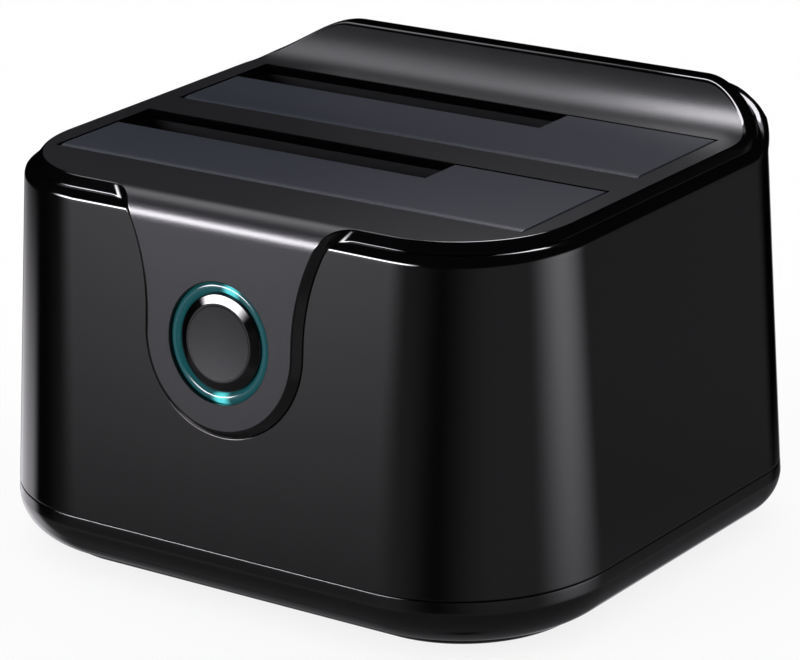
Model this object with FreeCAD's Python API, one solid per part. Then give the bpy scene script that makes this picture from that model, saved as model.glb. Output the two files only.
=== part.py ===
import FreeCAD, Part
import math
import os
from FreeCAD import Vector

# A desktop drive duplicator: two drive bays side by side in depth under hinged
# flaps, a start button with a light ring on the front, and a base with feet.
# Millimetres. +Z is up, the front faces -Y, and the origin is on the surface
# that the feet rest on, under the middle of the housing.

os.makedirs("parts", exist_ok=True)

# Drives that the bays take, and the room round them
large_drive_width = 101.6
large_drive_thickness = 26.1
small_drive_width = 69.85
small_drive_thickness = 9.5
bay_slack_x = 2.0
bay_slack_y = 1.04
notch_slack = 0.6
bay_web = 9.13

# Top deck and the housing round it
deck_height = 74.5
deck_side_margin = 4.8
deck_front_margin = 13.43
deck_rear_margin = 12.66
cover_thickness = 1.87
cover_skirt = 2.4
ramp_length = 11.5
ramp_rise = 6.8
rim_depth = 5.9
edge_climb_length = 13.7
crown_rise = 0.25
rim_round = 1.2
beyond = 5.0
tongue_cut_depth = 9.0
tongue_cut_out = 4.0
edge_rear_lean = 0.2
deck_rear_lean = 0.3
rim_rear_lean = 0.5
rim_spare = 2.0
slot_key_width = 1.6
guide_chamfer = 0.8
deck_front_radius = 22.7
rear_radius = 18.5
edge_slope = 0.6
front_edge_slope = 0.9
shoulder_drop = 1.66
shoulder_width = 2.13
side_flare = 3.37
front_flare = 6.0
rear_draft = 1.33
front_radius_growth = 5.2
shell_wall = 1.8
lean_fit_gap = 0.15

# Base
foot_height = 0.6
foot_radius = 5.5
foot_recess = 0.6
plinth_height = 0.6
plinth_inset = 7.3
plinth_width = 3.4
base_round_drop = 8.7
base_round_inset = 11.0
base_straight = 2.09
base_wall = 2.4
base_growth = 0.12
lip_height = 2.0
lip_thickness = 1.0
lip_gap = 0.2
vent_slot_width = 2.0
vent_slot_length = 14.0
vent_pitch = 5.0
vent_count = 7

# Tongue on the front, and its button
tongue_half_width = 17.35
tongue_face_step = 1.25
tongue_proud = 1.5
tongue_arc_drop = 20.3
tongue_side_start = 18.0
tongue_flare_radius = 38.0
roll_radius = 5.0
button_drop = 20.4
ring_outer_radius = 10.95
ring_inner_radius = 9.1
ring_recess = 0.8
ring_depth = 4.2
ring_flange_radius = 12.2
ring_flange_thickness = 1.2
cap_gap = 0.2
cap_bevel_width = 1.8
cap_bevel_drop = 0.9
cap_dish = 0.35
cap_flange_radius = 10.2
cap_flange_thickness = 1.0
cap_stop_gap = 0.1
button_travel = 0.6
plunger_radius = 1.7
plunger_length = 1.6
plunger_gap = 0.15
tact_switch_size = 6.0
tact_switch_height = 3.4
button_board_thickness = 1.2
button_board_top = 12.6
button_board_bottom = 35.0
button_post_radius = 2.05
button_post_offset = 14.7

# Flaps and their hinges
flap_gap = 0.45
flap_thickness = 1.8
flap_open_clearance = 0.4
flap_edge_round = 0.6
hinge_pin_radius = 0.75
hinge_bore_gap = 0.05
hinge_barrel_radius = 1.45
hinge_roof_gap = 0.1
arm_start = 24.0
arm_width = 10.0
arm_reach = 5.0
lug_width = 4.0
lug_gap = 0.35
spring_start = 6.0
spring_wire = 0.5
spring_turns = 4
spring_pitch = 0.75
spring_pin_gap = 0.15
spring_leg_gap = 0.1
leg_root = 0.15

# Bay wells and the connectors that stand in them
well_wall = 1.2
well_floor_height = 20.0
well_floor = 1.4
recess_clearance = 0.35
pocket_clearance = 0.3
pocket_depth = 13.0
connector_width = 42.0
connector_thickness = 6.2
connector_height = 11.4
connector_slot_gap = 0.3
connector_side_gap = 0.5
connector_from_rear = 5.2
signal_slot = 10.9
power_slot = 21.4
slot_key = 2.4
slot_thickness = 1.9
slot_depth = 5.5
contact_pitch = 1.27
contact_width = 0.6
signal_contacts = 7
power_contacts = 15

# Main board, ports and switch
board_top = 12.5
board_thickness = 1.6
board_half_width = 50.0
board_front_clear = 15.0
board_rear_clear = 4.0
standoff_radius = 3.0
case_boss_radius = 3.3
case_boss_gap = 0.6
boss_to_well = 0.5
front_boss_side_inset = 24.7
rear_boss_side_inset = 16.2
shell_boss_height = 14.0
screw_radius = 1.35
screw_head_radius = 2.7
screw_head_height = 1.8
screw_length = 9.0
bridge_chip_size = 14.0
bridge_chip_height = 1.4
memory_chip_size = 5.3
memory_chip_height = 1.8
flash_chip_width = 6.5
flash_chip_depth = 5.0
flash_chip_height = 1.6
chip_from_connector = 2.65
chip_gap = 8.0
chip_row_rear_of_bay = 4.0
usb_width = 8.45
usb_height = 7.8
usb_upper_width = 5.8
usb_upper_height = 2.8
usb_depth = 14.0
usb_wall = 0.4
usb_x = 12.0
jack_width = 9.0
jack_height = 11.0
jack_depth = 13.0
jack_bore_radius = 3.15
jack_nose_radius = 4.0
jack_pin_radius = 1.05
jack_bore_floor = 3.0
jack_pin_recess = 1.5
jack_x = 30.0
port_gap = 0.25
ribbon_gap = 0.2
rocker_x = -26.0
bezel_width = 15.0
bezel_height = 10.5
bezel_thickness = 1.0
bezel_pocket = 1.6
bezel_frame = 2.4
switch_body_width = 13.4
switch_body_height = 8.6
switch_body_depth = 9.5
rocker_half_length = 5.3
rocker_height = 6.8
rocker_tilt = 6.0
rocker_pivot_depth = 4.5
rocker_gap = 0.3
rocker_shaft_radius = 0.9
rocker_side_depth = 2.6

# Places worked out from the values above
bay_width = large_drive_width + bay_slack_x
bay_depth = large_drive_thickness + bay_slack_y
bay_pitch = bay_depth + bay_web
notch_width = small_drive_width + 2.0 * notch_slack
notch_depth = small_drive_thickness + notch_slack / 2.0
front_reach = bay_depth / 2.0 + deck_front_margin + front_edge_slope + shoulder_width * 2.0 / 3.0
front_reach = front_reach + front_flare + base_growth
rear_reach = bay_pitch + bay_depth / 2.0 + deck_rear_margin + rim_depth
bay_y = [(front_reach - rear_reach) / 2.0, (front_reach - rear_reach) / 2.0 + bay_pitch]
bay_names = ["front", "rear"]
deck_half_width = bay_width / 2.0 + deck_side_margin
deck_front = bay_y[0] - bay_depth / 2.0 - deck_front_margin
deck_rear = bay_y[1] + bay_depth / 2.0 + deck_rear_margin
rim_rear = deck_rear + rim_depth
ramp_start = deck_rear - ramp_length
edge_z = deck_height - cover_thickness
shoulder_z = edge_z - shoulder_drop
base_bottom = foot_height + plinth_height
seam_z = base_bottom + base_round_drop + base_straight
board_bottom = board_top - board_thickness
hinge_drop = cover_thickness + hinge_roof_gap + hinge_barrel_radius
hinge_setback = hinge_drop - flap_open_clearance
lean = math.atan2(front_flare, shoulder_z - seam_z)


class Section:
    """A rectangle with round corners, seen from above, at one height."""

    def __init__(self, z, half_width, front, rear, front_radius, rear_corner):
        self.z = z
        self.half_width = half_width
        self.front = front
        self.rear = rear
        self.front_radius = front_radius
        self.rear_corner = rear_corner

    def inset(self, amount, z=None):
        """The same outline moved inwards all round, at its own or another height."""
        return Section(self.z if z is None else z, self.half_width - amount, self.front + amount,
                       self.rear - amount, self.front_radius - amount, self.rear_corner - amount)

    def wire(self):
        """Four sides and four corner arcs, always started at the same corner."""
        corners = [(1, self.rear, self.rear_corner, -1, 0), (-1, self.rear, self.rear_corner, -1, 90),
                   (-1, self.front, self.front_radius, 1, 180), (1, self.front, self.front_radius, 1, 270)]
        edges = []
        arcs = []
        for side, end, radius, inward, start in corners:
            centre = Vector(side * (self.half_width - radius), end + inward * radius, self.z)
            points = []
            for turn in (0, 45, 90):
                angle = math.radians(start + turn)
                points.append(centre + Vector(radius * math.cos(angle), radius * math.sin(angle), 0))
            arcs.append(points)
        for number, points in enumerate(arcs):
            edges.append(Part.Arc(*points).toShape())
            edges.append(Part.LineSegment(points[2], arcs[(number + 1) % 4][0]).toShape())
        return Part.Wire(edges)


def loft(sections):
    """A solid with straight walls from each outline to the next."""
    return Part.makeLoft([section.wire() for section in sections], True, True)


def box(x_limits, y_limits, z_limits):
    """A block between two limits on each axis."""
    size = [limits[1] - limits[0] for limits in (x_limits, y_limits, z_limits)]
    return Part.makeBox(*size, Vector(x_limits[0], y_limits[0], z_limits[0]))


def span(middle, width, extra=0.0):
    """The two limits of a width about its middle, with extra on both sides."""
    return middle - width / 2.0 - extra, middle + width / 2.0 + extra


def post(radius, x, y, z_low, z_high):
    """An upright round post."""
    return Part.makeCylinder(radius, z_high - z_low, Vector(x, y, z_low))


def side_prism(edges, half_width, middle=0.0):
    """A closed outline drawn in the Y-Z plane, pushed both ways along X."""
    face = Part.Face(Part.Wire(Part.sortEdges(edges)[0]))
    face.translate(Vector(middle - half_width, 0, 0))
    return face.extrude(Vector(2.0 * half_width, 0, 0))


def side_polygon(points, half_width, middle=0.0):
    """A prism along X over straight-sided (y, z) corners."""
    corners = [Vector(0, y, z) for y, z in points]
    return side_prism([Part.LineSegment(start, end).toShape()
                       for start, end in zip(corners, corners[1:] + corners[:1])], half_width, middle)


def rise_arc(y, z, length, height):
    """An arc that leaves (y, z) level and climbs by height over length."""
    radius = (length ** 2 + height ** 2) / (2.0 * height)
    half_turn = math.asin(length / radius) / 2.0
    middle = Vector(0, y + radius * math.sin(half_turn), z + radius * (1.0 - math.cos(half_turn)))
    return Part.Arc(Vector(0, y, z), middle, Vector(0, y + length, z + height)).toShape()


def join(first, *others):
    """One clean solid from touching or crossing pieces."""
    return first.fuse(list(others)).removeSplitter()


def save(name, *solids):
    """One STEP file for one node, with one or more solids in it."""
    shape = solids[0] if len(solids) == 1 else Part.makeCompound(list(solids))
    for solid in shape.Solids:
        if not solid.isValid():
            print("not valid:", name)
    shape.exportStep("parts/" + name + ".step")
    box_now = shape.BoundBox
    print(name, len(shape.Solids), "volume", round(shape.Volume, 1),
          [round(value, 2) for value in (box_now.XMin, box_now.XMax, box_now.YMin, box_now.YMax,
                                         box_now.ZMin, box_now.ZMax)])


# Outlines of the housing, from the seam with the base up to the raised rear rim
edge_section = Section(edge_z, deck_half_width + edge_slope, deck_front - front_edge_slope,
                       rim_rear - edge_rear_lean,
                       deck_front_radius - front_edge_slope, rear_radius)
shoulder_section = Section(shoulder_z, edge_section.half_width + shoulder_width,
                           edge_section.front - shoulder_width * 2.0 / 3.0, rim_rear,
                           deck_front_radius + edge_slope + front_edge_slope, rear_radius)
seam_section = Section(seam_z, shoulder_section.half_width + side_flare,
                       shoulder_section.front - front_flare, shoulder_section.rear - rear_draft,
                       shoulder_section.front_radius + front_radius_growth, rear_radius)
deck_section = Section(deck_height, deck_half_width, deck_front, rim_rear - deck_rear_lean,
                       deck_front_radius, rear_radius)
rim_section = Section(deck_height + ramp_rise + rim_spare, deck_half_width, deck_front,
                      rim_rear - rim_rear_lean, deck_front_radius, rear_radius)


def under_edge():
    """Everything below the line where the cover sits on the shell: it climbs round the rear corners
    and has gained the height of the ramp where it reaches the rear."""
    climb_end = edge_section.rear
    climb_start = climb_end - edge_climb_length
    rim_edge = edge_z + ramp_rise
    rear_limit = rim_rear + beyond
    front_limit = seam_section.front - beyond
    corners = [Vector(0, climb_end, rim_edge), Vector(0, rear_limit, rim_edge),
               Vector(0, rear_limit, -beyond), Vector(0, front_limit, -beyond),
               Vector(0, front_limit, edge_z), Vector(0, climb_start, edge_z)]
    edges = [rise_arc(climb_start, edge_z, edge_climb_length, ramp_rise)]
    for first, second in zip(corners, corners[1:]):
        edges.append(Part.LineSegment(first, second).toShape())
    return side_prism(edges, seam_section.half_width + 10)


def under_deck(lower=0.0):
    """Everything below the deck, its ramp and the rounded rear rim, moved down by lower."""
    level = deck_height - lower
    ramp_top = Vector(0, deck_rear, level + ramp_rise)
    crown = Vector(0, deck_rear + rim_depth * 0.4, ramp_top.z + crown_rise)
    shoulder = Vector(0, rim_rear - rim_round * 1.15, ramp_top.z)
    turn = Vector(0, rim_rear - rim_round * 0.3, ramp_top.z - rim_round * 0.4)
    down = Vector(0, rim_rear + 0.1, ramp_top.z - rim_round * 1.4)
    rear_limit = rim_rear + beyond
    front_limit = seam_section.front - beyond
    edges = [rise_arc(ramp_start, level, ramp_length, ramp_rise),
             Part.Arc(ramp_top, crown, shoulder).toShape(),
             Part.Arc(shoulder, turn, down).toShape()]
    corners = [down, Vector(0, rear_limit, down.z), Vector(0, rear_limit, -beyond),
               Vector(0, front_limit, -beyond), Vector(0, front_limit, level), Vector(0, ramp_start, level)]
    for first, second in zip(corners, corners[1:]):
        edges.append(Part.LineSegment(first, second).toShape())
    return side_prism(edges, seam_section.half_width + 10)


# The tongue lies in the plane of the leaning front wall. A place on it is given as
# x, the distance down from the shoulder line, and the height out of the wall.
front_out = Vector(0, -math.cos(lean), math.sin(lean))
front_down = Vector(0, -math.sin(lean), -math.cos(lean))


def on_front(x, down, out):
    """The point at x, so far down the front wall and so far out of it."""
    return Vector(x, shoulder_section.front, shoulder_z) + front_down * down + front_out * out


def tongue_wire(grow, out):
    """The U outline of the tongue, grown sideways, at a height out of the wall."""
    half = tongue_half_width + grow
    radius = tongue_flare_radius
    top = -6.0

    def flare(down):
        return half + radius - math.sqrt(radius ** 2 - (tongue_side_start - down) ** 2)

    middle = (tongue_side_start + top) / 2.0
    arc = tongue_arc_drop
    line = Part.LineSegment
    edges = [Part.Arc(on_front(flare(top), top, out), on_front(flare(middle), middle, out),
                      on_front(half, tongue_side_start, out)).toShape(),
             line(on_front(half, tongue_side_start, out), on_front(half, arc, out)).toShape(),
             Part.Arc(on_front(half, arc, out), on_front(0, arc + half, out),
                      on_front(-half, arc, out)).toShape(),
             line(on_front(-half, arc, out), on_front(-half, tongue_side_start, out)).toShape(),
             Part.Arc(on_front(-half, tongue_side_start, out), on_front(-flare(middle), middle, out),
                      on_front(-flare(top), top, out)).toShape(),
             line(on_front(-flare(top), top, out), on_front(flare(top), top, out)).toShape()]
    return Part.Wire(edges)


def tongue_block():
    """The tongue as a block: upright sides in the wall, sloping sides where it stands proud."""
    return Part.makeLoft([tongue_wire(0, -tongue_cut_depth), tongue_wire(0, 0),
                          tongue_wire(-tongue_face_step, tongue_proud)], True, True)


def tongue_skin():
    """One even sheet: the deck's front, the roll, and the tongue down the front wall."""
    face = on_front(0, 0, tongue_proud)
    centre_z = deck_height - roll_radius
    centre_y = face.y + (roll_radius + math.sin(lean) * (centre_z - face.z)) / math.cos(lean)
    centre = Vector(0, centre_y, centre_z)
    half_turn = (math.pi / 2.0 - lean) / 2.0
    paths = []
    for inward in (0.0, cover_thickness):
        radius = roll_radius - inward
        top = centre + Vector(0, 0, radius)
        middle = centre + Vector(0, -radius * math.sin(half_turn), radius * math.cos(half_turn))
        low = centre + front_out * radius
        end = on_front(0, tongue_arc_drop + tongue_half_width + 5, tongue_proud - inward)
        back = Vector(0, bay_y[0] - bay_depth / 2.0 - hinge_setback, top.z)
        paths.append((back, top, middle, low, end))
    edges = []
    for back, top, middle, low, end in paths:
        edges.append(Part.LineSegment(back, top).toShape())
        edges.append(Part.Arc(top, middle, low).toShape())
        edges.append(Part.LineSegment(low, end).toShape())
    edges.append(Part.LineSegment(paths[0][0], paths[1][0]).toShape())
    edges.append(Part.LineSegment(paths[0][4], paths[1][4]).toShape())
    return side_prism(edges, deck_half_width), centre_y


def front_disc(radius, out_low, out_high, x=0.0, down=None):
    """A round disc square to the front wall, between two heights out of it."""
    drop = button_drop if down is None else down
    return Part.makeCylinder(radius, out_high - out_low, on_front(x, drop, out_low), front_out)


def front_block(x_limits, down_limits, out_limits):
    """A block square to the front wall."""
    corner = on_front(x_limits[0], down_limits[0], out_limits[0])
    base = [on_front(x, down, out_limits[0]) for x, down in
            ((x_limits[0], down_limits[0]), (x_limits[1], down_limits[0]),
             (x_limits[1], down_limits[1]), (x_limits[0], down_limits[1]))]
    face = Part.Face(Part.makePolygon(base + [corner]))
    return face.extrude(front_out * (out_limits[1] - out_limits[0]))


def front_revolve(points):
    """A round piece on the button's centre line from (radius, height out of the wall) corners."""
    corners = [Vector(radius, 0, out) for radius, out in points]
    face = Part.Face(Part.makePolygon(corners + corners[:1]))
    solid = face.revolve(Vector(0, 0, 0), Vector(0, 0, 1), 360)
    solid.rotate(Vector(0, 0, 0), Vector(1, 0, 0), 90 - math.degrees(lean))
    solid.translate(on_front(0, button_drop, 0))
    return solid


# Heights of the button pieces out of the front wall
ring_face = tongue_proud - ring_recess
ring_rear = ring_face - ring_depth
cap_rear = ring_rear - cap_stop_gap - cap_flange_thickness
board_front_face = cap_rear - plunger_length - tact_switch_height

# Places where the case screws, the board and the feet stand
front_boss_x = seam_section.half_width - front_boss_side_inset
rear_boss_x = seam_section.half_width - rear_boss_side_inset
recess_in_front = hinge_setback - hinge_drop + flap_thickness + recess_clearance
front_boss_y = bay_y[0] - bay_depth / 2.0 - recess_in_front - well_wall - boss_to_well - case_boss_radius
rear_boss_y = bay_y[1] + bay_depth / 2.0 + well_wall + boss_to_well + case_boss_radius
case_bosses = []
for boss_side in (-1, 1):
    case_bosses.append((boss_side * front_boss_x, front_boss_y))
    case_bosses.append((boss_side * rear_boss_x, rear_boss_y))
board_front = seam_section.front + board_front_clear
board_rear = seam_section.rear - shell_wall - board_rear_clear
standoffs = []
for standoff_side in (-1, 1):
    standoffs.append((standoff_side * (board_half_width - 6), board_front + 8))
    standoffs.append((standoff_side * (rear_boss_x - 14), board_rear - 24))
case_screw_seat = board_top + case_boss_gap - screw_length / 2.0 + 1.0
foot_places = []
for foot_side in (-1, 1):
    foot_x = foot_side * (seam_section.half_width - base_round_inset - foot_radius - 5)
    foot_places.append((foot_x, seam_section.front + base_round_inset + foot_radius + 13))
    foot_places.append((foot_x, seam_section.rear - base_round_inset - foot_radius - 13))
rear_wall_y = seam_section.rear + rear_draft * (board_top - seam_z) / (shoulder_z - seam_z)


def usb_outline(grow, y):
    """The two-storey outline of a USB type B socket, standing on the board."""
    low = board_top - grow
    step = board_top + usb_height + 2 * usb_wall + grow
    high = step + usb_upper_height
    lower_half = usb_width / 2.0 + usb_wall + grow
    upper_half = usb_upper_width / 2.0 + usb_wall + grow
    corners = [(-lower_half, low), (lower_half, low), (lower_half, step), (upper_half, step),
               (upper_half, high), (-upper_half, high), (-upper_half, step), (-lower_half, step)]
    points = [Vector(usb_x + x, y, z) for x, z in corners]
    return Part.Face(Part.makePolygon(points + points[:1]))


def make_outer_shell():
    """The gloss housing: drafted walls, sloping shoulder, U opening and rear openings."""
    outer = loft([seam_section, shoulder_section, edge_section, deck_section, rim_section])
    low_section = seam_section.inset(shell_wall, seam_z - 1.0)
    sections = (seam_section, shoulder_section, edge_section, deck_section, rim_section)
    inner = loft([low_section] + [section.inset(shell_wall) for section in sections])
    pocket_x = span(rocker_x, bezel_width)
    switch_z = board_top + bezel_height / 2.0
    pocket_z = span(switch_z, bezel_height)
    frame = box((pocket_x[0] - bezel_frame, pocket_x[1] + bezel_frame),
                (rear_wall_y - bezel_pocket - shell_wall, rear_wall_y - 0.3),
                (seam_z, pocket_z[1] + bezel_frame))
    shell = join(outer.cut(inner), frame)
    shell = shell.common(under_edge())
    shell = shell.cut(box((pocket_x[0] - port_gap, pocket_x[1] + port_gap),
                          (rear_wall_y - bezel_pocket, rear_wall_y + beyond),
                          (pocket_z[0] - port_gap, pocket_z[1] + port_gap)))
    shell = shell.cut(box(span(rocker_x, switch_body_width, port_gap),
                          (rear_wall_y - 2.0 * beyond, rear_wall_y + beyond),
                          span(switch_z, switch_body_height, port_gap)))
    usb_hole = usb_outline(port_gap, rear_wall_y - beyond)
    shell = shell.cut(usb_hole.extrude(Vector(0, 2.0 * beyond, 0)))
    jack_z = board_top + jack_height / 2.0
    jack_start = Vector(jack_x, rear_wall_y - beyond, jack_z)
    jack_hole = Part.makeCylinder(jack_nose_radius + port_gap, 2.0 * beyond, jack_start, Vector(0, 1, 0))
    shell = shell.cut(jack_hole)
    opening = Part.makeLoft([tongue_wire(lean_fit_gap, -tongue_cut_depth),
                             tongue_wire(lean_fit_gap, tongue_cut_out)], True, True)
    shell = shell.cut(opening)
    columns = []
    for x, y in case_bosses:
        side = 1 if x > 0 else -1
        low = board_top + case_boss_gap
        column = post(case_boss_radius, x, y, low, low + shell_boss_height)
        end = seam_section.front if y < 0 else seam_section.rear
        rib = box((x - 0.8, x + 0.8), sorted((y, end)), (low + 2, low + shell_boss_height))
        columns.append(column.fuse(rib))
    trimming = loft([low_section, seam_section.inset(shell_wall / 2.0),
                     shoulder_section.inset(shell_wall / 2.0)])
    for column in columns:
        shell = shell.fuse(column.common(trimming))
    for x, y in case_bosses:
        shell = shell.cut(post(screw_radius, x, y, 0, board_top + case_boss_gap + screw_length - 1.0))
    return shell.removeSplitter()


def make_top_cover():
    """The satin deck with its ramp, the two bay openings, and the tongue rolled over the front."""
    slab = loft([edge_section, deck_section, rim_section])
    slab = slab.common(under_deck()).cut(under_edge())
    hollow = loft([section.inset(cover_skirt) for section in (edge_section, deck_section, rim_section)])
    slab = slab.cut(hollow.common(under_deck(cover_thickness)))
    block = tongue_block()
    skin, roll_y = tongue_skin()
    front_zone = box((-deck_half_width, deck_half_width), (seam_section.front - 4.0 * beyond, roll_y),
                     (0, deck_height + 4.0 * beyond))
    slab = slab.cut(block.common(front_zone))
    tongue = block.common(skin).common(front_zone)
    cover = join(slab, tongue)
    for y in bay_y:
        opening = box(span(0, bay_width), span(y, bay_depth),
                      (edge_z - beyond, deck_height + beyond))
        cover = cover.cut(opening)
    cover = cover.cut(front_disc(ring_outer_radius + cap_gap / 2.0, -9, 4))
    rear_face = tongue_proud - cover_thickness
    for side in (-1, 1):
        across = side * button_post_offset
        stand = front_disc(button_post_radius, board_front_face, rear_face, across)
        hole = front_disc(button_post_radius / 2.0, board_front_face - 1, board_front_face + 5, across)
        cover = join(cover, stand).cut(hole)
    return cover


def make_button_ring():
    """Clear light ring with a rear flange that seats on the back of the tongue."""
    seat = tongue_proud - cover_thickness
    return front_revolve([(ring_inner_radius, ring_rear), (ring_flange_radius, ring_rear),
                          (ring_flange_radius, seat), (ring_outer_radius, seat),
                          (ring_outer_radius, ring_face - 0.3), (ring_outer_radius - 0.3, ring_face),
                          (ring_inner_radius + 0.2, ring_face), (ring_inner_radius, ring_face - 0.2)])


def make_button_cap():
    """Round cap: dished face, wide bevel, and a flange behind the ring that keeps it in."""
    radius = ring_inner_radius - cap_gap
    face_radius = radius - cap_bevel_width
    cap = front_revolve([(0, cap_rear), (cap_flange_radius, cap_rear),
                         (cap_flange_radius, cap_rear + cap_flange_thickness),
                         (radius, cap_rear + cap_flange_thickness), (radius, tongue_proud - cap_bevel_drop),
                         (face_radius, tongue_proud), (0, tongue_proud)])
    dish_radius = (face_radius ** 2 + cap_dish ** 2) / (2.0 * cap_dish)
    dish = Part.makeSphere(dish_radius)
    dish.translate(on_front(0, button_drop, tongue_proud - cap_dish + dish_radius))
    return cap.cut(dish)


def make_button_switch():
    """The tact switch body, bored for its plunger, and the plunger itself."""
    half = tact_switch_size / 2.0
    top = board_front_face + tact_switch_height
    body = front_block((-half, half), (button_drop - half, button_drop + half), (board_front_face, top))
    room = plunger_radius + plunger_gap
    body = body.cut(front_disc(room, board_front_face + 0.8, top + 1))
    plunger = front_disc(plunger_radius, board_front_face + 0.8 + button_travel + 0.3, cap_rear)
    return body, plunger


def make_button_board():
    """The small board behind the button, screwed to the two stands of the tongue."""
    rear = board_front_face - button_board_thickness
    half = button_post_offset + button_post_radius
    board = front_block((-half, half), (button_board_top, button_board_bottom), (rear, board_front_face))
    for side in (-1, 1):
        board = board.cut(front_disc(button_post_radius / 2.0, rear - 1, board_front_face + 1,
                                     side * button_post_offset))
    return board


def make_button_screws():
    """Two small screws from behind the button board into the stands."""
    rear = board_front_face - button_board_thickness
    screws = []
    for side in (-1, 1):
        x = side * button_post_offset
        head = front_disc(button_post_radius * 0.95, rear - 1.2, rear, x)
        shank = front_disc(button_post_radius / 2.0 - 0.05, rear, board_front_face + 4, x)
        screws.append(join(head, shank))
    return screws


def make_ring_lights():
    """Four chip lamps on the button board, behind the light ring."""
    lamps = []
    reach = (ring_outer_radius + ring_inner_radius) / 2.0 * math.sqrt(0.5)
    for x in (-reach, reach):
        for down in (button_drop - reach, button_drop + reach):
            lamps.append(front_block((x - 1.6, x + 1.6), (down - 0.8, down + 0.8),
                                     (board_front_face, board_front_face + 1.1)))
    return lamps


def make_base_tray():
    """The base: straight under the seam, an elliptical turn inwards, a plinth, and posts inside."""
    widest = seam_section.inset(-base_growth, seam_z - base_straight)
    outer = [seam_section, widest]
    steps = 4
    for step in range(1, steps + 1):
        angle = math.pi / 2.0 * step / steps
        outer.append(widest.inset(base_round_inset * (1.0 - math.cos(angle)),
                                  widest.z - base_round_drop * math.sin(angle)))
    body = loft(outer)
    inner = [seam_section.inset(base_wall, seam_z + 1.0)]
    for section in (seam_section, widest, outer[3]):
        inner.append(section.inset(base_wall))
    inner.append(outer[-1].inset(base_wall, base_bottom + base_wall))
    tray = body.cut(loft(inner))
    plinth = loft([widest.inset(plinth_inset + 0.8, base_bottom - plinth_height),
                   widest.inset(plinth_inset, base_bottom), widest.inset(plinth_inset, base_bottom + 0.5)])
    plinth = plinth.cut(loft([widest.inset(plinth_inset + plinth_width, base_bottom - 3),
                              widest.inset(plinth_inset + plinth_width, base_bottom + 3)]))
    tray = join(tray, plinth)
    lip_out = shell_wall + lip_gap
    lip_in = lip_out + lip_thickness
    lip = loft([seam_section.inset(lip_out, seam_z - 3), seam_section.inset(lip_out, seam_z + lip_height)])
    lip = lip.cut(loft([seam_section.inset(lip_in, seam_z - 4),
                        seam_section.inset(lip_in, seam_z + lip_height + 1)]))
    rear_gap = box((rocker_x - bezel_width / 2.0 - 5, jack_x + jack_width),
                   (seam_section.rear - 8, seam_section.rear + 1), (seam_z, seam_z + lip_height + 1))
    tray = join(tray, lip.cut(rear_gap))
    for x, y in case_bosses:
        tray = tray.fuse(post(case_boss_radius, x, y, base_bottom, board_top))
    for x, y in standoffs:
        tray = tray.fuse(post(standoff_radius, x, y, base_bottom + base_wall / 2.0, board_bottom))
    for x, y in case_bosses:
        tray = tray.cut(post(screw_radius + 0.2, x, y, -1, board_top + 1))
        tray = tray.cut(post(screw_head_radius + 0.3, x, y, -1, case_screw_seat))
    for x, y in standoffs:
        tray = tray.cut(post(screw_radius, x, y, base_bottom + base_wall, board_bottom + 1))
    for x, y in foot_places:
        tray = tray.cut(post(foot_radius + 0.15, x, y, -1, base_bottom + foot_recess))
    for number in range(vent_count):
        for row in (-1, 1):
            x = (number - (vent_count - 1) / 2.0) * vent_pitch
            y = row * (vent_slot_length / 2.0 + vent_pitch)
            slot = box(span(x, vent_slot_width),
                       span(y, vent_slot_length), (0, base_bottom + base_wall + 1))
            tray = tray.cut(slot)
    return tray.removeSplitter()


def make_case_screws():
    """Four screws from below through the base posts into the columns of the shell."""
    screws = []
    for x, y in case_bosses:
        head = post(screw_head_radius, x, y, case_screw_seat - screw_head_height, case_screw_seat)
        shank = post(screw_radius - 0.05, x, y, case_screw_seat, case_screw_seat + screw_length)
        screws.append(join(head, shank))
    return screws


def make_feet():
    """Four rubber feet pressed into round recesses under the base."""
    feet = []
    for x, y in foot_places:
        foot = post(foot_radius, x, y, 0, base_bottom + foot_recess)
        low_edge = [edge for edge in foot.Edges if abs(edge.BoundBox.ZMax) < 1e-6]
        feet.append(foot.makeChamfer(0.3, low_edge))
    return feet


def hinge_axis(bay):
    """Height and depth of the hinge line of a bay's flap."""
    return bay_y[bay] - bay_depth / 2.0 - hinge_setback, deck_height - hinge_drop


def make_flap(bay):
    """The flap: a plate with the small-drive notch, and two arms that reach under the deck."""
    front = bay_y[bay] - bay_depth / 2.0
    rear = bay_y[bay] + bay_depth / 2.0
    left = -bay_width / 2.0
    top = deck_height
    plate = box((left + flap_gap, -left - flap_gap), (front + flap_gap, rear - flap_gap),
                (top - flap_thickness, top))
    notch = box((left - 1, left + notch_width), (rear - notch_depth, rear + 1), (top - 5, top + 5))
    plate = plate.cut(notch)
    front_edge = [edge for edge in plate.Edges
                  if abs(edge.BoundBox.YMax - front - flap_gap) < 1e-6 and edge.BoundBox.ZMin > top - 1e-6]
    plate = plate.makeFillet(flap_edge_round, front_edge)
    axis_y, axis_z = hinge_axis(bay)
    roof = top - cover_thickness - hinge_roof_gap
    low = axis_z - hinge_barrel_radius
    profile = [(axis_y, roof), (front + flap_gap, roof), (front + flap_gap, top - flap_thickness + 0.6),
               (front + flap_gap + arm_reach, top - flap_thickness + 0.6),
               (front + flap_gap + arm_reach, top - flap_thickness), (front + flap_gap, low), (axis_y, low)]
    flap = plate
    for side in (-1, 1):
        middle = side * (arm_start + arm_width / 2.0)
        arm = side_polygon(profile, arm_width / 2.0, middle)
        start = Vector(middle - arm_width / 2.0, axis_y, axis_z)
        barrel = Part.makeCylinder(hinge_barrel_radius, arm_width, start, Vector(1, 0, 0))
        bore = Part.makeCylinder(hinge_pin_radius + hinge_bore_gap, arm_width, start, Vector(1, 0, 0))
        flap = join(flap, arm, barrel).cut(bore)
    return flap


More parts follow.
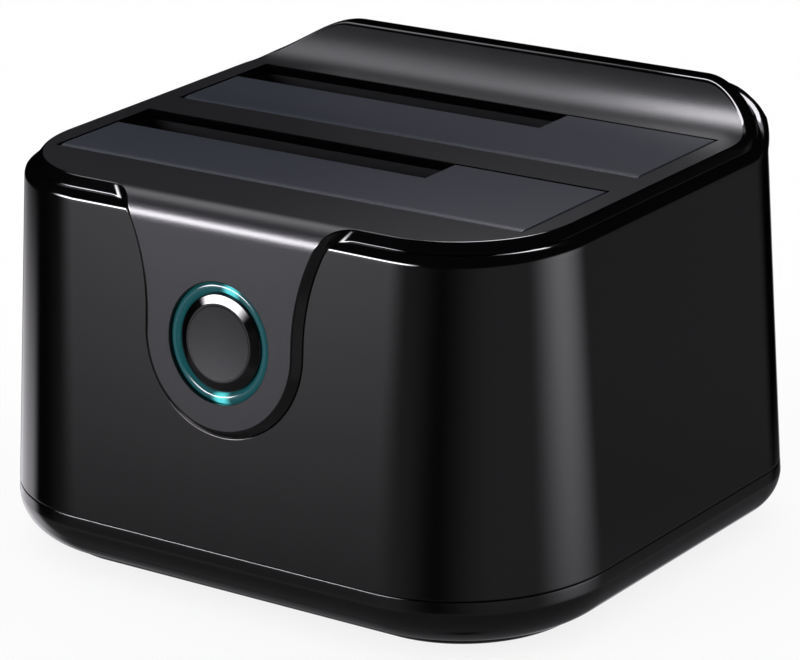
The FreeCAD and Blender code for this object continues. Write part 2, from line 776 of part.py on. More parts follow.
def make_hinge_pin(bay):
    """A plain steel pin through the lugs of the well and the arms of the flap."""
    axis_y, axis_z = hinge_axis(bay)
    reach = arm_start + arm_width + lug_gap + lug_width
    return Part.makeCylinder(hinge_pin_radius, 2 * reach, Vector(-reach, axis_y, axis_z), Vector(1, 0, 0))


def make_flap_spring(bay):
    """A torsion spring of square wire round the pin, with a leg on the flap and one on the well."""
    axis_y, axis_z = hinge_axis(bay)
    turn_radius = hinge_pin_radius + spring_pin_gap + spring_wire / 2.0
    length = spring_turns * spring_pitch
    helix = Part.makeHelix(spring_pitch, length, turn_radius)
    corners = []
    for number in range(5):
        angle = math.radians(90.0 * number)
        out = spring_wire / 2.0 * math.cos(angle)
        corners.append(Vector(turn_radius + out, 0, spring_wire / 2.0 * math.sin(angle)))
    section = Part.makePolygon(corners)
    coil = Part.Wire(helix.Edges).makePipeShell([section], True, True)
    flap_leg_length = leg_root + hinge_setback
    leg_radius = spring_wire * 0.4
    well_leg_length = hinge_barrel_radius + pocket_clearance + leg_root - spring_leg_gap
    well_leg = Part.makeCylinder(leg_radius, well_leg_length,
                                 Vector(turn_radius, leg_root, 0), Vector(0, -1, 0))
    flap_leg = Part.makeCylinder(leg_radius, flap_leg_length,
                                 Vector(turn_radius, -leg_root, length), Vector(0, 1, 0))
    spring = coil.fuse(well_leg).fuse(flap_leg)
    spring.rotate(Vector(0, 0, 0), Vector(0, 1, 0), 90)
    spring.translate(Vector(spring_start, axis_y, axis_z))
    return spring


def make_well(bay):
    """The open-topped well below a bay: walls, a recess for the hanging flap, and the hinge pocket."""
    front = bay_y[bay] - bay_depth / 2.0
    rear = bay_y[bay] + bay_depth / 2.0
    half = bay_width / 2.0
    axis_y, axis_z = hinge_axis(bay)
    recess_y = front - recess_in_front
    pocket_y = axis_y - hinge_barrel_radius - pocket_clearance
    pocket_half = arm_start + arm_width + lug_gap + lug_width + 0.6
    pocket_low = edge_z - pocket_depth
    floor_low = well_floor_height - well_floor
    outer = box((-half - well_wall, half + well_wall), (recess_y - well_wall, rear + well_wall),
                (floor_low, edge_z))
    pocket = box((-pocket_half - well_wall, pocket_half + well_wall), (pocket_y - well_wall, front),
                 (pocket_low - well_wall, edge_z))
    room = box((-half, half), (recess_y, rear), (well_floor_height, edge_z + 1))
    pocket_room = box((-pocket_half, pocket_half), (pocket_y, front), (pocket_low, edge_z + 1))
    front_corners = [edge for edge in outer.Edges
                     if edge.BoundBox.ZLength > 1 and edge.BoundBox.YMax < recess_y - well_wall + 1e-6]
    outer = outer.makeFillet(well_wall, front_corners)
    well = join(outer, pocket).cut(room).cut(pocket_room)
    for side in (-1, 1):
        for start in (arm_start + arm_width + lug_gap, arm_start - lug_gap - lug_width):
            middle = side * (start + lug_width / 2.0)
            knuckle = Part.makeCylinder(hinge_barrel_radius, lug_width,
                                        Vector(middle - lug_width / 2.0, axis_y, axis_z), Vector(1, 0, 0))
            arm = box(span(middle, lug_width), (pocket_y - 0.5, axis_y),
                      (axis_z - hinge_barrel_radius, axis_z + hinge_barrel_radius))
            well = join(well, knuckle, arm)
    well = well.cut(make_hinge_pin(bay))
    x, y = connector_place(bay)
    slot = box(span(x, connector_width, connector_slot_gap),
               span(y, connector_thickness, connector_slot_gap),
               (floor_low - 1, well_floor_height + 1))
    return well.cut(slot)


def connector_place(bay):
    """The middle of a bay's drive connector."""
    x = -bay_width / 2.0 + connector_side_gap + connector_width / 2.0
    return x, bay_y[bay] + bay_depth / 2.0 - connector_from_rear


def connector_slots(bay):
    """Start and width along X of the signal slot and the power slot."""
    x, y = connector_place(bay)
    land = (connector_width - signal_slot - power_slot) / 3.0
    start = x - connector_width / 2.0 + land
    return [(start, signal_slot), (start + signal_slot + land, power_slot)]


def make_connector(bay):
    """The drive connector housing: two L-keyed slots between tapered guide posts."""
    x, y = connector_place(bay)
    half_width = connector_width / 2.0
    half = connector_thickness / 2.0
    top = board_top + connector_height
    body = box((x - half_width, x + half_width), (y - half, y + half), (board_top, top))
    for start, width in connector_slots(bay):
        slot = box((start, start + width), span(y, slot_thickness),
                   (top - slot_depth, top + 1))
        key = box((start, start + slot_key_width), (y - slot_thickness / 2.0 - slot_key / 2.0, y),
                  (top - slot_depth, top + 1))
        body = body.cut(slot).cut(key)
    edges = [edge for edge in body.Edges if edge.BoundBox.ZMin > top - 1e-6
             and edge.Length > connector_thickness - 1
             and abs(abs(edge.BoundBox.Center.x - x) - half_width) < 1e-6]
    return body.makeChamfer(guide_chamfer, edges)


def make_contacts(bay):
    """Spring blades standing on the rear face of each slot, one per circuit."""
    x, y = connector_place(bay)
    top = board_top + connector_height
    blades = []
    for (start, width), count in zip(connector_slots(bay), (signal_contacts, power_contacts)):
        first = start + width / 2.0 - (count - 1) * contact_pitch / 2.0
        for number in range(count):
            middle = first + number * contact_pitch
            blades.append(box(span(middle, contact_width),
                              (y + slot_thickness / 2.0 - 0.45, y + slot_thickness / 2.0),
                              (top - slot_depth, top - 1.0)))
    return blades


def make_main_board():
    """The main board: clear of the case posts, drilled for its screws."""
    board = box((-board_half_width, board_half_width), (board_front, board_rear), (board_bottom, board_top))
    for x, y in case_bosses:
        board = board.cut(post(case_boss_radius + case_boss_gap, x, y, 0, board_top + beyond))
        if y > 0:
            side = 1 if x > 0 else -1
            corner = box(sorted((x, side * (board_half_width + beyond))), (y - 1, board_rear + beyond),
                         (0, board_top + beyond))
            board = board.cut(corner)
    for x, y in standoffs:
        board = board.cut(post(screw_radius + 0.15, x, y, 0, board_top + beyond))
    return board


def make_board_screws():
    """Four screws that hold the main board on its posts."""
    screws = []
    for x, y in standoffs:
        head = post(screw_head_radius, x, y, board_top, board_top + screw_head_height)
        shank = post(screw_radius - 0.05, x, y, board_bottom - 4.5, board_top)
        screws.append(join(head, shank))
    return screws


def chip(left, size_x, size_y, height):
    """A moulded chip package in the row on the main board, from its left edge."""
    y = bay_y[0] + chip_row_rear_of_bay
    body = box((left, left + size_x), span(y, size_y), (board_top, board_top + height))
    top_edges = [edge for edge in body.Edges if edge.BoundBox.ZMin > board_top + height - 1e-6]
    return body.makeChamfer(0.2, top_edges)


def make_usb_port():
    """The two-storey metal shell of the socket, open to the rear, and the contact tongues in it."""
    front_y = rear_wall_y - usb_depth
    outside = usb_outline(0, front_y).extrude(Vector(0, usb_depth, 0))
    low = board_top + usb_wall
    step = low + usb_height
    lower = box(span(usb_x, usb_width), (front_y + 2, rear_wall_y + 1), (low, step))
    upper = box(span(usb_x, usb_upper_width), (front_y + 2, rear_wall_y + 1),
                (step - 1, step + usb_upper_height))
    shell = outside.cut(lower).cut(upper)
    lower_tongue = box((usb_x - 2.8, usb_x + 2.8), (front_y + 2, rear_wall_y - 1.5), (low + 2.3, low + 5.5))
    upper_tongue = box((usb_x - 2.2, usb_x + 2.2), (front_y + 2, rear_wall_y - 2.0),
                       (step + usb_upper_height - 1.6, step + usb_upper_height - 0.6))
    return shell, [lower_tongue, upper_tongue]


def make_dc_jack():
    """The round power inlet: a block on the board with a nose through the rear wall, and its centre pin."""
    nose_y = rear_wall_y
    body_y = rear_wall_y - shell_wall - 0.3
    middle_z = board_top + jack_height / 2.0
    body = box(span(jack_x, jack_width), (rear_wall_y - jack_depth, body_y),
               (board_top, board_top + jack_height))
    along = Vector(0, 1, 0)
    nose_start = Vector(jack_x, body_y - 1, middle_z)
    bore_start = Vector(jack_x, rear_wall_y - jack_depth + jack_bore_floor, middle_z)
    nose = Part.makeCylinder(jack_nose_radius, nose_y - body_y + 1, nose_start, along)
    bore = Part.makeCylinder(jack_bore_radius, jack_depth, bore_start, along)
    jack = join(body, nose).cut(bore)
    pin_length = jack_depth - jack_bore_floor - jack_pin_recess
    pin = Part.makeCylinder(jack_pin_radius, pin_length, bore_start, along)
    tip = [edge for edge in pin.Edges if edge.BoundBox.YMin > rear_wall_y - jack_pin_recess - 0.1]
    return jack, pin.makeChamfer(0.3, tip)


def make_power_switch():
    """The rocker switch: a snap-in housing in its pocket, and the rocker on its cross shaft."""
    middle_z = board_top + bezel_height / 2.0
    face_y = rear_wall_y - bezel_pocket + bezel_thickness
    bezel = box(span(rocker_x, bezel_width), (face_y - bezel_thickness, face_y),
                span(middle_z, bezel_height))
    front_edges = [edge for edge in bezel.Edges if edge.BoundBox.YMin > face_y - 1e-6]
    bezel = bezel.makeChamfer(0.4, front_edges)
    body = box(span(rocker_x, switch_body_width),
               (face_y - bezel_thickness - switch_body_depth, face_y - bezel_thickness / 2.0),
               span(middle_z, switch_body_height))
    tilt = math.radians(rocker_tilt)
    rise = rocker_half_length * math.tan(tilt)
    room_half = rocker_half_length * math.cos(tilt) + rocker_gap
    room_half = room_half + (rocker_pivot_depth + rise) * math.sin(tilt)
    room_z = rocker_height / 2.0 + rocker_gap
    room = box((rocker_x - room_half, rocker_x + room_half), (face_y - switch_body_depth + 0.5, face_y + 1),
               (middle_z - room_z, middle_z + room_z))
    pivot = Vector(rocker_x, face_y - rocker_pivot_depth, middle_z)
    housing = join(bezel, body).cut(room)
    shaft_reach = room_z + 0.5
    housing = housing.cut(Part.makeCylinder(rocker_shaft_radius + 0.05, 2 * shaft_reach,
                                            pivot - Vector(0, 0, shaft_reach), Vector(0, 0, 1)))
    half = rocker_half_length
    keel_half = half * 0.45
    keel_y = -rocker_pivot_depth - 2.0
    corners = [(-half, rise), (0, 0), (half, rise), (half, rise - rocker_side_depth), (keel_half, keel_y),
               (-keel_half, keel_y), (-half, rise - rocker_side_depth)]
    points = [Vector(rocker_x + x, face_y + y, middle_z - rocker_height / 2.0) for x, y in corners]
    rocker = Part.Face(Part.makePolygon(points + points[:1])).extrude(Vector(0, 0, rocker_height))
    shaft_half = shaft_reach - 0.1
    shaft = Part.makeCylinder(rocker_shaft_radius, 2 * shaft_half, pivot - Vector(0, 0, shaft_half),
                              Vector(0, 0, 1))
    rocker = join(rocker, shaft)
    rocker.rotate(pivot, Vector(0, 0, 1), rocker_tilt)
    return housing, rocker


def make_ribbon():
    """The flat cable from the button board down to the main board, in one gentle bow."""
    top = on_front(0, button_board_bottom - 1.0 + ribbon_gap, board_front_face + 1.0)
    socket_top = board_top + 3.0
    low = Vector(0, board_front + 3.0, socket_top + ribbon_gap)
    chord = low - top
    side = Vector(0, -chord.z, chord.y).normalize()
    bow = 2.5
    thickness = 0.3
    middle = (top + low) * 0.5 - side * bow
    offset = side * thickness
    edges = [Part.Arc(top, middle, low).toShape(), Part.LineSegment(low, low + offset).toShape(),
             Part.Arc(low + offset, middle + offset, top + offset).toShape(),
             Part.LineSegment(top + offset, top).toShape()]
    cable = side_prism(edges, 4.0)
    upper_socket = front_block((-5.2, 5.2), (button_board_bottom - 5.0, button_board_bottom - 1.0),
                               (board_front_face, board_front_face + 2.2))
    lower_socket = box((-5.2, 5.2), (low.y - 1.2, low.y + 1.6), (board_top, socket_top))
    return cable, [upper_socket, lower_socket]


save("outer_shell", make_outer_shell())
save("top_cover", make_top_cover())
save("base_tray", make_base_tray())
save("rubber_feet", *make_feet())
save("case_screws", *make_case_screws())
for bay_number, bay_name in enumerate(bay_names):
    save(bay_name + "_bay_flap", make_flap(bay_number))
    save(bay_name + "_hinge_pin", make_hinge_pin(bay_number))
    save(bay_name + "_flap_spring", make_flap_spring(bay_number))
    save(bay_name + "_bay_well", make_well(bay_number))
    save(bay_name + "_drive_connector", make_connector(bay_number))
    save(bay_name + "_drive_contacts", *make_contacts(bay_number))
save("button_ring", make_button_ring())
save("button_cap", make_button_cap())
switch_body, switch_plunger = make_button_switch()
save("button_switch_body", switch_body)
save("button_switch_plunger", switch_plunger)
save("button_board", make_button_board())
save("button_board_screws", *make_button_screws())
save("ring_lights", *make_ring_lights())
save("main_board", make_main_board())
save("board_screws", *make_board_screws())
memory_left = connector_place(0)[0] + connector_width / 2.0 + chip_from_connector
bridge_left = memory_left + memory_chip_size + chip_gap
flash_left = bridge_left + bridge_chip_size + chip_gap
save("bridge_chip", chip(bridge_left, bridge_chip_size, bridge_chip_size, bridge_chip_height))
save("memory_chips", chip(memory_left, memory_chip_size, memory_chip_size, memory_chip_height),
     chip(flash_left, flash_chip_width, flash_chip_depth, flash_chip_height))
usb_shell, usb_tongues = make_usb_port()
save("usb_port_shell", usb_shell)
save("usb_port_tongues", *usb_tongues)
dc_jack, dc_jack_pin = make_dc_jack()
save("dc_jack", dc_jack)
save("dc_jack_pin", dc_jack_pin)
power_switch, power_rocker = make_power_switch()
save("power_switch", power_switch)
save("power_rocker", power_rocker)
ribbon, ribbon_sockets = make_ribbon()
save("button_ribbon", ribbon)
save("ribbon_sockets", *ribbon_sockets)
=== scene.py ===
import bmesh
import bpy
import numpy as np
from mathutils import Matrix, Vector
from mathutils.geometry import delaunay_2d_cdt


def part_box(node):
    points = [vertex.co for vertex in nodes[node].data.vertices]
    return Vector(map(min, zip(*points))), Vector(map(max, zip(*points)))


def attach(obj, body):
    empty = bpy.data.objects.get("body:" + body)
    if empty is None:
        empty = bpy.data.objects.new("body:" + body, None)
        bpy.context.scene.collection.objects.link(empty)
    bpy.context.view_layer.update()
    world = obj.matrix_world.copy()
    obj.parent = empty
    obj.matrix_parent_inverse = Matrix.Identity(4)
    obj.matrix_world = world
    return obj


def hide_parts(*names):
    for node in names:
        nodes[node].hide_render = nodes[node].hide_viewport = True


# A desktop drive duplicator. Shapes are worked out in millimetres and put into
# the meshes in metres. The front faces -Y, +Z is up, and Z is 0 at the feet.
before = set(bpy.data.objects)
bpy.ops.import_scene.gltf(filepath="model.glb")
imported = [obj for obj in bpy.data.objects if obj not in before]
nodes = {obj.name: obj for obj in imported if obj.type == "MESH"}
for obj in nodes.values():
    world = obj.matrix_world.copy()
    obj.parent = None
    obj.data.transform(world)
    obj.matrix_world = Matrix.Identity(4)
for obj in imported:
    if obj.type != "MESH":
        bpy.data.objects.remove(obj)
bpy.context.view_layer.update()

# Base: a shallow tray of injection-moulded ABS, black and highly polished, that
# stands straight under the seam, turns in along a quarter ellipse and ends in a
# low plinth. Four screws from below hold it to the housing.
corner_steps = 40
run_steps = 6
tray_low, tray_high = (corner * 1000 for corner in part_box("base_tray"))
base_growth = 0.12
seam_half = tray_high.x - base_growth
seam_front = tray_low.y + base_growth
seam_rear = tray_high.y - base_growth
seam_front_radius = 29.43
rear_radius = 18.5
seam_z = 11.99
base_widest_z = 9.9
base_floor_z = 1.2
base_inset = 11.0
plinth_inset = 7.3
plinth_width = 3.4
plinth_floor_z = 0.6
base_wall = 2.4
seam_round = 0.25
sharp_angle = 32


def half_outline(half_width, front, rear, front_radius, rear_corner, height):
    """Half of a rectangle with round corners, from the middle of the front by +X to the middle
    of the rear: straight runs are divided evenly, and corners by angle. height is z."""
    turn = np.linspace(0, np.pi / 2, corner_steps + 1)
    run = np.linspace(0, 1, run_steps + 1)
    flat_x = half_width - front_radius
    rear_x = half_width - rear_corner
    low_y = front + front_radius
    high_y = rear - rear_corner
    x = np.concatenate([flat_x * run[:-1], flat_x + front_radius * np.sin(turn),
                        np.full(run_steps - 1, half_width), rear_x + rear_corner * np.cos(turn),
                        rear_x * (1 - run[1:])])
    y = np.concatenate([np.full(run_steps, front), low_y - front_radius * np.cos(turn),
                        low_y + (high_y - low_y) * run[1:-1], high_y + rear_corner * np.sin(turn),
                        np.full(run_steps, rear)])
    return np.stack([x, y, np.full(len(x), float(height))], -1)


def mirrored(half):
    """A closed loop from a right half that starts and ends in the middle: the left half is the
    right one with x turned round."""
    return np.concatenate([half, half[-2:0:-1] * np.array((-1,) + (1,) * (half.shape[1] - 1))])


def bands(rows, closed=True):
    """Points and four-cornered faces of a surface given as rows of points, each face between
    two rows and two columns; a closed surface joins the last column to the first."""
    rows = np.asarray(rows, float)
    count, columns = rows.shape[:2]
    start = np.arange(count - 1)[:, None] * columns
    here = np.arange(columns if closed else columns - 1)[None, :]
    after = (here + 1) % columns
    faces = np.stack([start + here, start + after, start + columns + after, start + columns + here], -1)
    return rows.reshape(-1, 3), faces.reshape(-1, 4)


def sheet(loops, bend_lines, shape):
    """Points and triangles over a flat region, carried into space by shape(x, s). The region is
    inside the first loop and outside the others: a place is in it when a line from it crosses
    the loops an odd number of times. The surface bends along bend_lines."""
    points, edges = [], []
    for line, closed in [(loop, True) for loop in loops] + [(line, False) for line in bend_lines]:
        first = len(points)
        points.extend(Vector(place) for place in line)
        edges.extend((first + number, first + number + 1) for number in range(len(line) - 1))
        if closed:
            edges.append((len(points) - 1, first))
    found = delaunay_2d_cdt(points, edges, [], 0, 1e-7)
    flat = np.array([tuple(place) for place in found[0]])
    triangles = np.array(found[2])
    middle = flat[triangles].mean(1)
    inside = np.zeros(len(middle), bool)
    for loop in loops:
        start = np.asarray(loop, float)
        end = np.roll(start, -1, 0)
        spans = (start[:, 1] > middle[:, None, 1]) != (end[:, 1] > middle[:, None, 1])
        rise = np.where(end[:, 1] == start[:, 1], 1, end[:, 1] - start[:, 1])
        crossing = start[:, 0] + (middle[:, None, 1] - start[:, 1]) * (end[:, 0] - start[:, 0]) / rise
        inside ^= (spans & (crossing > middle[:, None, 0])).sum(1) % 2 == 1
    return shape(flat[:, 0], flat[:, 1]), triangles[inside]


def level(loops, z):
    """The flat region inside the first loop and outside the others, at height z."""
    return sheet(loops, [], lambda x, y: np.column_stack([x, y, np.full(len(x), z)]))


def rounded(before, corner, after, steps=4):
    """Rows of points round an edge: a parabola that leaves before, heads for corner and ends
    at after, each of them a whole row."""
    t = np.linspace(0, 1, steps + 1)[:, None, None]
    return list((1 - t) ** 2 * before + 2 * t * (1 - t) * corner + t ** 2 * after)


def circle(x, y, radius, steps=48):
    """The (x, y) points of a circle, divided by angle."""
    turn = np.linspace(0, 2 * np.pi, steps, endpoint=False)
    return np.stack([x + radius * np.cos(turn), y + radius * np.sin(turn)], -1)


def rectangle(x, y, half_width, half_depth):
    """The four corners of a rectangle about its middle."""
    return np.array([(x - half_width, y - half_depth), (x + half_width, y - half_depth),
                     (x + half_width, y + half_depth), (x - half_width, y + half_depth)])


def at_height(loop, z):
    """A flat loop of (x, y) points lifted to a height, or heights, z."""
    loop = np.asarray(loop, float)
    return np.column_stack([loop[:, :2], np.broadcast_to(z, len(loop))])


def mesh_of(name, parts, material, sharp):
    """One welded mesh from (points, faces) parts in millimetres, or (points, faces, finish)
    where a part has a material of its own, smooth except over edges sharper than sharp degrees."""
    points, faces, finish, start = [], [], [], 0
    materials = [material]
    for part_points, part_faces, *own in parts:
        points.append(np.reshape(part_points, (-1, 3)))
        faces.extend((np.asarray(part_faces) + start).tolist())
        start += len(points[-1])
        materials += [each for each in own if each not in materials]
        finish += [materials.index(own[0]) if own else 0] * len(part_faces)
    mesh = bpy.data.meshes.new(name)
    mesh.from_pydata(np.concatenate(points) * 0.001, [], faces)
    mesh.polygons.foreach_set("material_index", finish)
    work = bmesh.new()
    work.from_mesh(mesh)
    bmesh.ops.remove_doubles(work, verts=work.verts, dist=1.5e-6)
    bmesh.ops.dissolve_degenerate(work, edges=work.edges, dist=1e-7)
    bmesh.ops.recalc_face_normals(work, faces=work.faces)
    work.to_mesh(mesh)
    work.free()
    mesh.shade_smooth()
    mesh.set_sharp_from_angle(angle=np.radians(sharp))
    for each in materials:
        mesh.materials.append(each)
    return mesh


def shade_evenly(piece):
    """Lets the large faces lead the shading, so that narrow rounded edges don't stain them."""
    shading = piece.modifiers.new("even_shading", "WEIGHTED_NORMAL")
    shading.keep_sharp, shading.weight = True, 100


def put(name, parts, material, body, slot, *stands_for, sharp=sharp_angle):
    """One object from parts in millimetres, which rides on body and stands for CAD nodes."""
    piece = bpy.data.objects.new(name, mesh_of(name, parts, material, sharp))
    bpy.context.scene.collection.objects.link(piece)
    shade_evenly(piece)
    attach(piece, body)
    if stands_for:
        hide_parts(*stands_for)
    return piece


def linear(hex_colour):
    """A colour written as sRGB hex, as linear red, green, blue and alpha."""
    srgb = np.array([int(hex_colour[start:start + 2], 16) for start in (0, 2, 4)]) / 255
    return tuple(np.where(srgb <= 0.04045, srgb / 12.92, ((srgb + 0.055) / 1.055) ** 2.4)) + (1.0,)


def add_node(tree, kind, links=(), **settings):
    """One shader node. Settings are its own or its sockets' values by name, and links are pairs
    of a socket's name or number and the output, or the plain value, that it takes."""
    node = tree.nodes.new(kind)
    for name, value in settings.items():
        if hasattr(node, name):
            setattr(node, name, value)
        else:
            node.inputs[name.replace("_", " ")].default_value = value
    for name, source in links:
        if isinstance(source, bpy.types.NodeSocket):
            tree.links.new(source, node.inputs[name])
        else:
            node.inputs[name].default_value = source
    return node


def new_material(name, colour, roughness, **sockets):
    """A material with one Principled surface; returns it, its node tree and that surface."""
    material = bpy.data.materials.new(name)
    material.use_nodes = True
    tree = material.node_tree
    surface = tree.nodes["Principled BSDF"]
    surface.inputs["Base Color"].default_value = linear(colour)
    surface.inputs["Roughness"].default_value = roughness
    for socket, value in sockets.items():
        surface.inputs[socket.replace("_", " ")].default_value = value
    return material, tree, surface


def moulded_gloss_abs(name):
    """Polished-mould ABS: nearly a mirror, with a very slight orange peel about 9 mm long
    from the moulding, and fine dust-sized variation of gloss."""
    material, tree, surface = new_material(name, "050506", 0.08, IOR=1.54)
    place = add_node(tree, "ShaderNodeTexCoord").outputs["Object"]
    peel = add_node(tree, "ShaderNodeTexNoise", [("Vector", place)], Scale=110.0, Detail=1.0)
    bump = add_node(tree, "ShaderNodeBump", [("Height", peel.outputs["Fac"])],
                    Strength=0.05, Distance=0.00002)
    haze = add_node(tree, "ShaderNodeTexNoise", [("Vector", place)], Scale=900.0, Detail=3.0)
    gloss = add_node(tree, "ShaderNodeMapRange",
                     [("Value", haze.outputs["Fac"]), ("To Min", 0.06), ("To Max", 0.1)])
    tree.links.new(gloss.outputs["Result"], surface.inputs["Roughness"])
    tree.links.new(bump.outputs["Normal"], surface.inputs["Normal"])
    return material


gloss_abs = moulded_gloss_abs("moulded gloss ABS")


def base_loop(inset, z):
    """The base outline drawn in by inset from its widest line, at height z."""
    return mirrored(half_outline(tray_high.x - inset, tray_low.y + inset, tray_high.y - inset,
                                 seam_front_radius + base_growth - inset,
                                 rear_radius + base_growth - inset, z))


ellipse_turn = np.linspace(0, np.arccos(1 - plinth_inset / base_inset), 24)
ellipse_inset = base_inset * (1 - np.cos(ellipse_turn))
ellipse_z = base_widest_z - (base_widest_z - base_floor_z) * np.sin(ellipse_turn)
seam_gap = 0.05
top_z = seam_z - seam_gap
top_inset = base_growth + 0.02
plinth_draft, plinth_lean, plinth_round = 0.6, 0.2, 0.3
plinth_corner_inset = plinth_inset + plinth_draft + plinth_lean
plinth_inner_inset = plinth_inset + plinth_width
base_rows = [base_loop(base_wall, top_z), base_loop(top_inset + 2 * seam_round, top_z)]
base_rows += rounded(base_loop(top_inset + seam_round, top_z), base_loop(top_inset, top_z),
                     base_loop(base_growth, top_z - seam_round))
base_rows += [base_loop(base_growth * 0.8, seam_z - 2.5 * seam_round)]
base_rows += [base_loop(inset, z) for inset, z in zip(ellipse_inset, ellipse_z)]
base_rows += [base_loop(plinth_inset, base_floor_z)]
base_rows += rounded(base_loop(plinth_inset + plinth_draft, plinth_floor_z + plinth_lean),
                     base_loop(plinth_corner_inset, plinth_floor_z),
                     base_loop(plinth_corner_inset + plinth_round, plinth_floor_z), 3)
base_rows += [base_loop(plinth_inner_inset, plinth_floor_z),
              base_loop(plinth_inner_inset, base_floor_z), base_loop(base_inset, base_floor_z)]
inner_floor_z = base_floor_z + base_wall
inner_rows = [base_loop(base_wall, top_z)]
inner_rows += [base_loop(inset + base_wall, max(z, inner_floor_z))
               for inset, z in zip(ellipse_inset, ellipse_z)]
inner_rows += [base_loop(base_inset + base_wall, inner_floor_z)]

vent_holes = []
vent_count, vent_pitch, vent_width, vent_length = 7, 5.0, 2.0, 14.0
for number in range(vent_count):
    for side in (-1, 1):
        x = (number - (vent_count - 1) / 2) * vent_pitch
        y = side * (vent_length / 2 + vent_pitch)
        vent_holes.append(rectangle(x, y, vent_width / 2, vent_length / 2))
screw_low, screw_high = (corner * 1000 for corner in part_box("case_screws"))
foot_low, foot_high = (corner * 1000 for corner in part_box("rubber_feet"))
foot_radius, foot_recess, foot_play = 5.5, 0.6, 0.15
screw_head_radius, screw_seat_z = 2.7, 9.6
boss_wall, boss_roof, head_play, overrun = 1.5, 1.2, 0.3, 1.0
front_screw_inset, rear_screw_inset = 24.7, 16.2
foot_places = [(side * (foot_high.x - foot_radius), end) for side in (-1, 1)
               for end in (foot_low.y + foot_radius, foot_high.y - foot_radius)]
screw_places = [(side * (seam_half - inset), y) for side in (-1, 1) for inset, y in
                ((front_screw_inset, screw_low.y + screw_head_radius),
                 (rear_screw_inset, screw_high.y - screw_head_radius))]
foot_holes = [circle(x, y, foot_radius + foot_play) for x, y in foot_places]
base_parts = [bands(base_rows), bands(inner_rows)]
base_parts.append(level([base_loop(base_inset, 0)[:, :2]] + vent_holes + foot_holes, base_floor_z))
base_parts.append(level([base_loop(base_inset + base_wall, 0)[:, :2]] + vent_holes, inner_floor_z))


def pocket(loop, low, high):
    """Upright walls of a hole from low to high, and its flat closed end at high."""
    return [bands([at_height(loop, low), at_height(loop, high)]), level([loop], high)]


for hole in vent_holes:
    base_parts.append(bands([at_height(hole, base_floor_z), at_height(hole, inner_floor_z)]))
for hole in foot_holes:
    base_parts += pocket(hole, base_floor_z, base_floor_z + foot_recess)
base = put("base_moulding", base_parts, gloss_abs, "housing", "housing_gloss", "base_tray")


def posts(radius, low, high):
    """Closed upright round posts at the screw places."""
    parts = []
    for x, y in screw_places:
        loop = circle(x, y, radius)
        wall = bands([at_height(loop, low), at_height(loop, high)])
        parts += [wall, level([loop], low), level([loop], high)]
    return parts


base.modifiers.clear()
bosses = posts(screw_head_radius + boss_wall, inner_floor_z - overrun, screw_seat_z + boss_roof)
head_holes = posts(screw_head_radius + head_play, -overrun, screw_seat_z)
for operation, solids in (("UNION", bosses), ("DIFFERENCE", head_holes)):
    tool = bpy.data.objects.new("screw_posts", mesh_of("screw_posts", solids, gloss_abs, sharp_angle))
    bpy.context.scene.collection.objects.link(tool)
    carve = base.modifiers.new(operation, "BOOLEAN")
    carve.operation, carve.object = operation, tool
    carved = bpy.data.meshes.new_from_object(base.evaluated_get(bpy.context.evaluated_depsgraph_get()))
    base.modifiers.clear()
    base.data = carved
    bpy.data.objects.remove(tool)
base.data.set_sharp_from_angle(angle=np.radians(sharp_angle))
shade_evenly(base)

# Housing: one black ABS moulding with leaning, drafted walls and a sloping
# shoulder that swells up into the rear rim. The front has a U-shaped opening for
# the cover's tongue, and the rear has openings for the ports.
shoulder_half, shoulder_front, shoulder_rear, shoulder_z = 59.33, -45.8, 51.92, 70.97
edge_half, edge_front, edge_rear, edge_z = 57.2, -44.38, 51.72, 72.63
shoulder_radius, edge_radius = 24.2, 21.8
climb_length, climb_height = 13.7, 6.8
climb_start = edge_rear - climb_length
rim_from, rim_over = 33.0, 10.0
shell_wall = 1.8
crease_round = 0.5
shell_edge_round = 0.18
edge_gap = 0.12
side_bulge_out, side_bulge_up = 0.5, 0.15
rim_rise, rim_side_ease = 3.0, 0.75
rim_low_out, rim_low_share = 2.5, 0.55
rim_high_out, rim_high_up = 2.3, 1.5
lean = np.arctan2(shoulder_front - seam_front, shoulder_z - seam_z)
front_out = np.array((0, -np.cos(lean), np.sin(lean)))
front_down = np.array((0, -np.sin(lean), -np.cos(lean)))


def climb(y):
    """How far the line between housing and cover has risen at depth y: a circular arc that
    starts level at climb_start and gains climb_height over climb_length."""
    radius = (climb_length ** 2 + climb_height ** 2) / (2 * climb_height)
    reach = np.clip(y - climb_start, 0, radius * 0.99)
    return radius - np.sqrt(radius ** 2 - reach ** 2)


def along(first, second, distance):
    """The row of points at a distance from first on the way to second."""
    step = second - first
    return first + step * (distance / np.linalg.norm(step, axis=-1, keepdims=True))


def shell_row(half_width, front, rear, front_radius, z):
    """The columns of an outline of the housing that run round its right side."""
    return half_outline(half_width, front, rear, front_radius, rear_radius, z)[run_steps:-run_steps]


turn = np.linspace(0, np.pi / 2, corner_steps + 1)
outward = np.concatenate([np.stack([np.sin(turn), -np.cos(turn), 0 * turn], -1),
                          np.tile((1.0, 0, 0), (run_steps - 1, 1)),
                          np.stack([np.cos(turn), np.sin(turn), 0 * turn], -1)])
seam_row = shell_row(seam_half, seam_front, seam_rear, seam_front_radius, seam_z + seam_gap)
crease_row = shell_row(shoulder_half, shoulder_front, shoulder_rear, shoulder_radius, shoulder_z)
edge_row = shell_row(edge_half, edge_front, edge_rear, edge_radius, edge_z - edge_gap)
edge_row[:, 2] += climb(edge_row[:, 1])
swell = np.clip((edge_row[:, 1] - rim_from) / rim_over, 0, 1)[:, None]
swell = swell ** 2 * (3 - 2 * swell)
bulge_low = crease_row + (edge_row - crease_row) / 3
bulge_high = crease_row + (edge_row - crease_row) * 2 / 3
sideways = outward[:, :1] ** 2
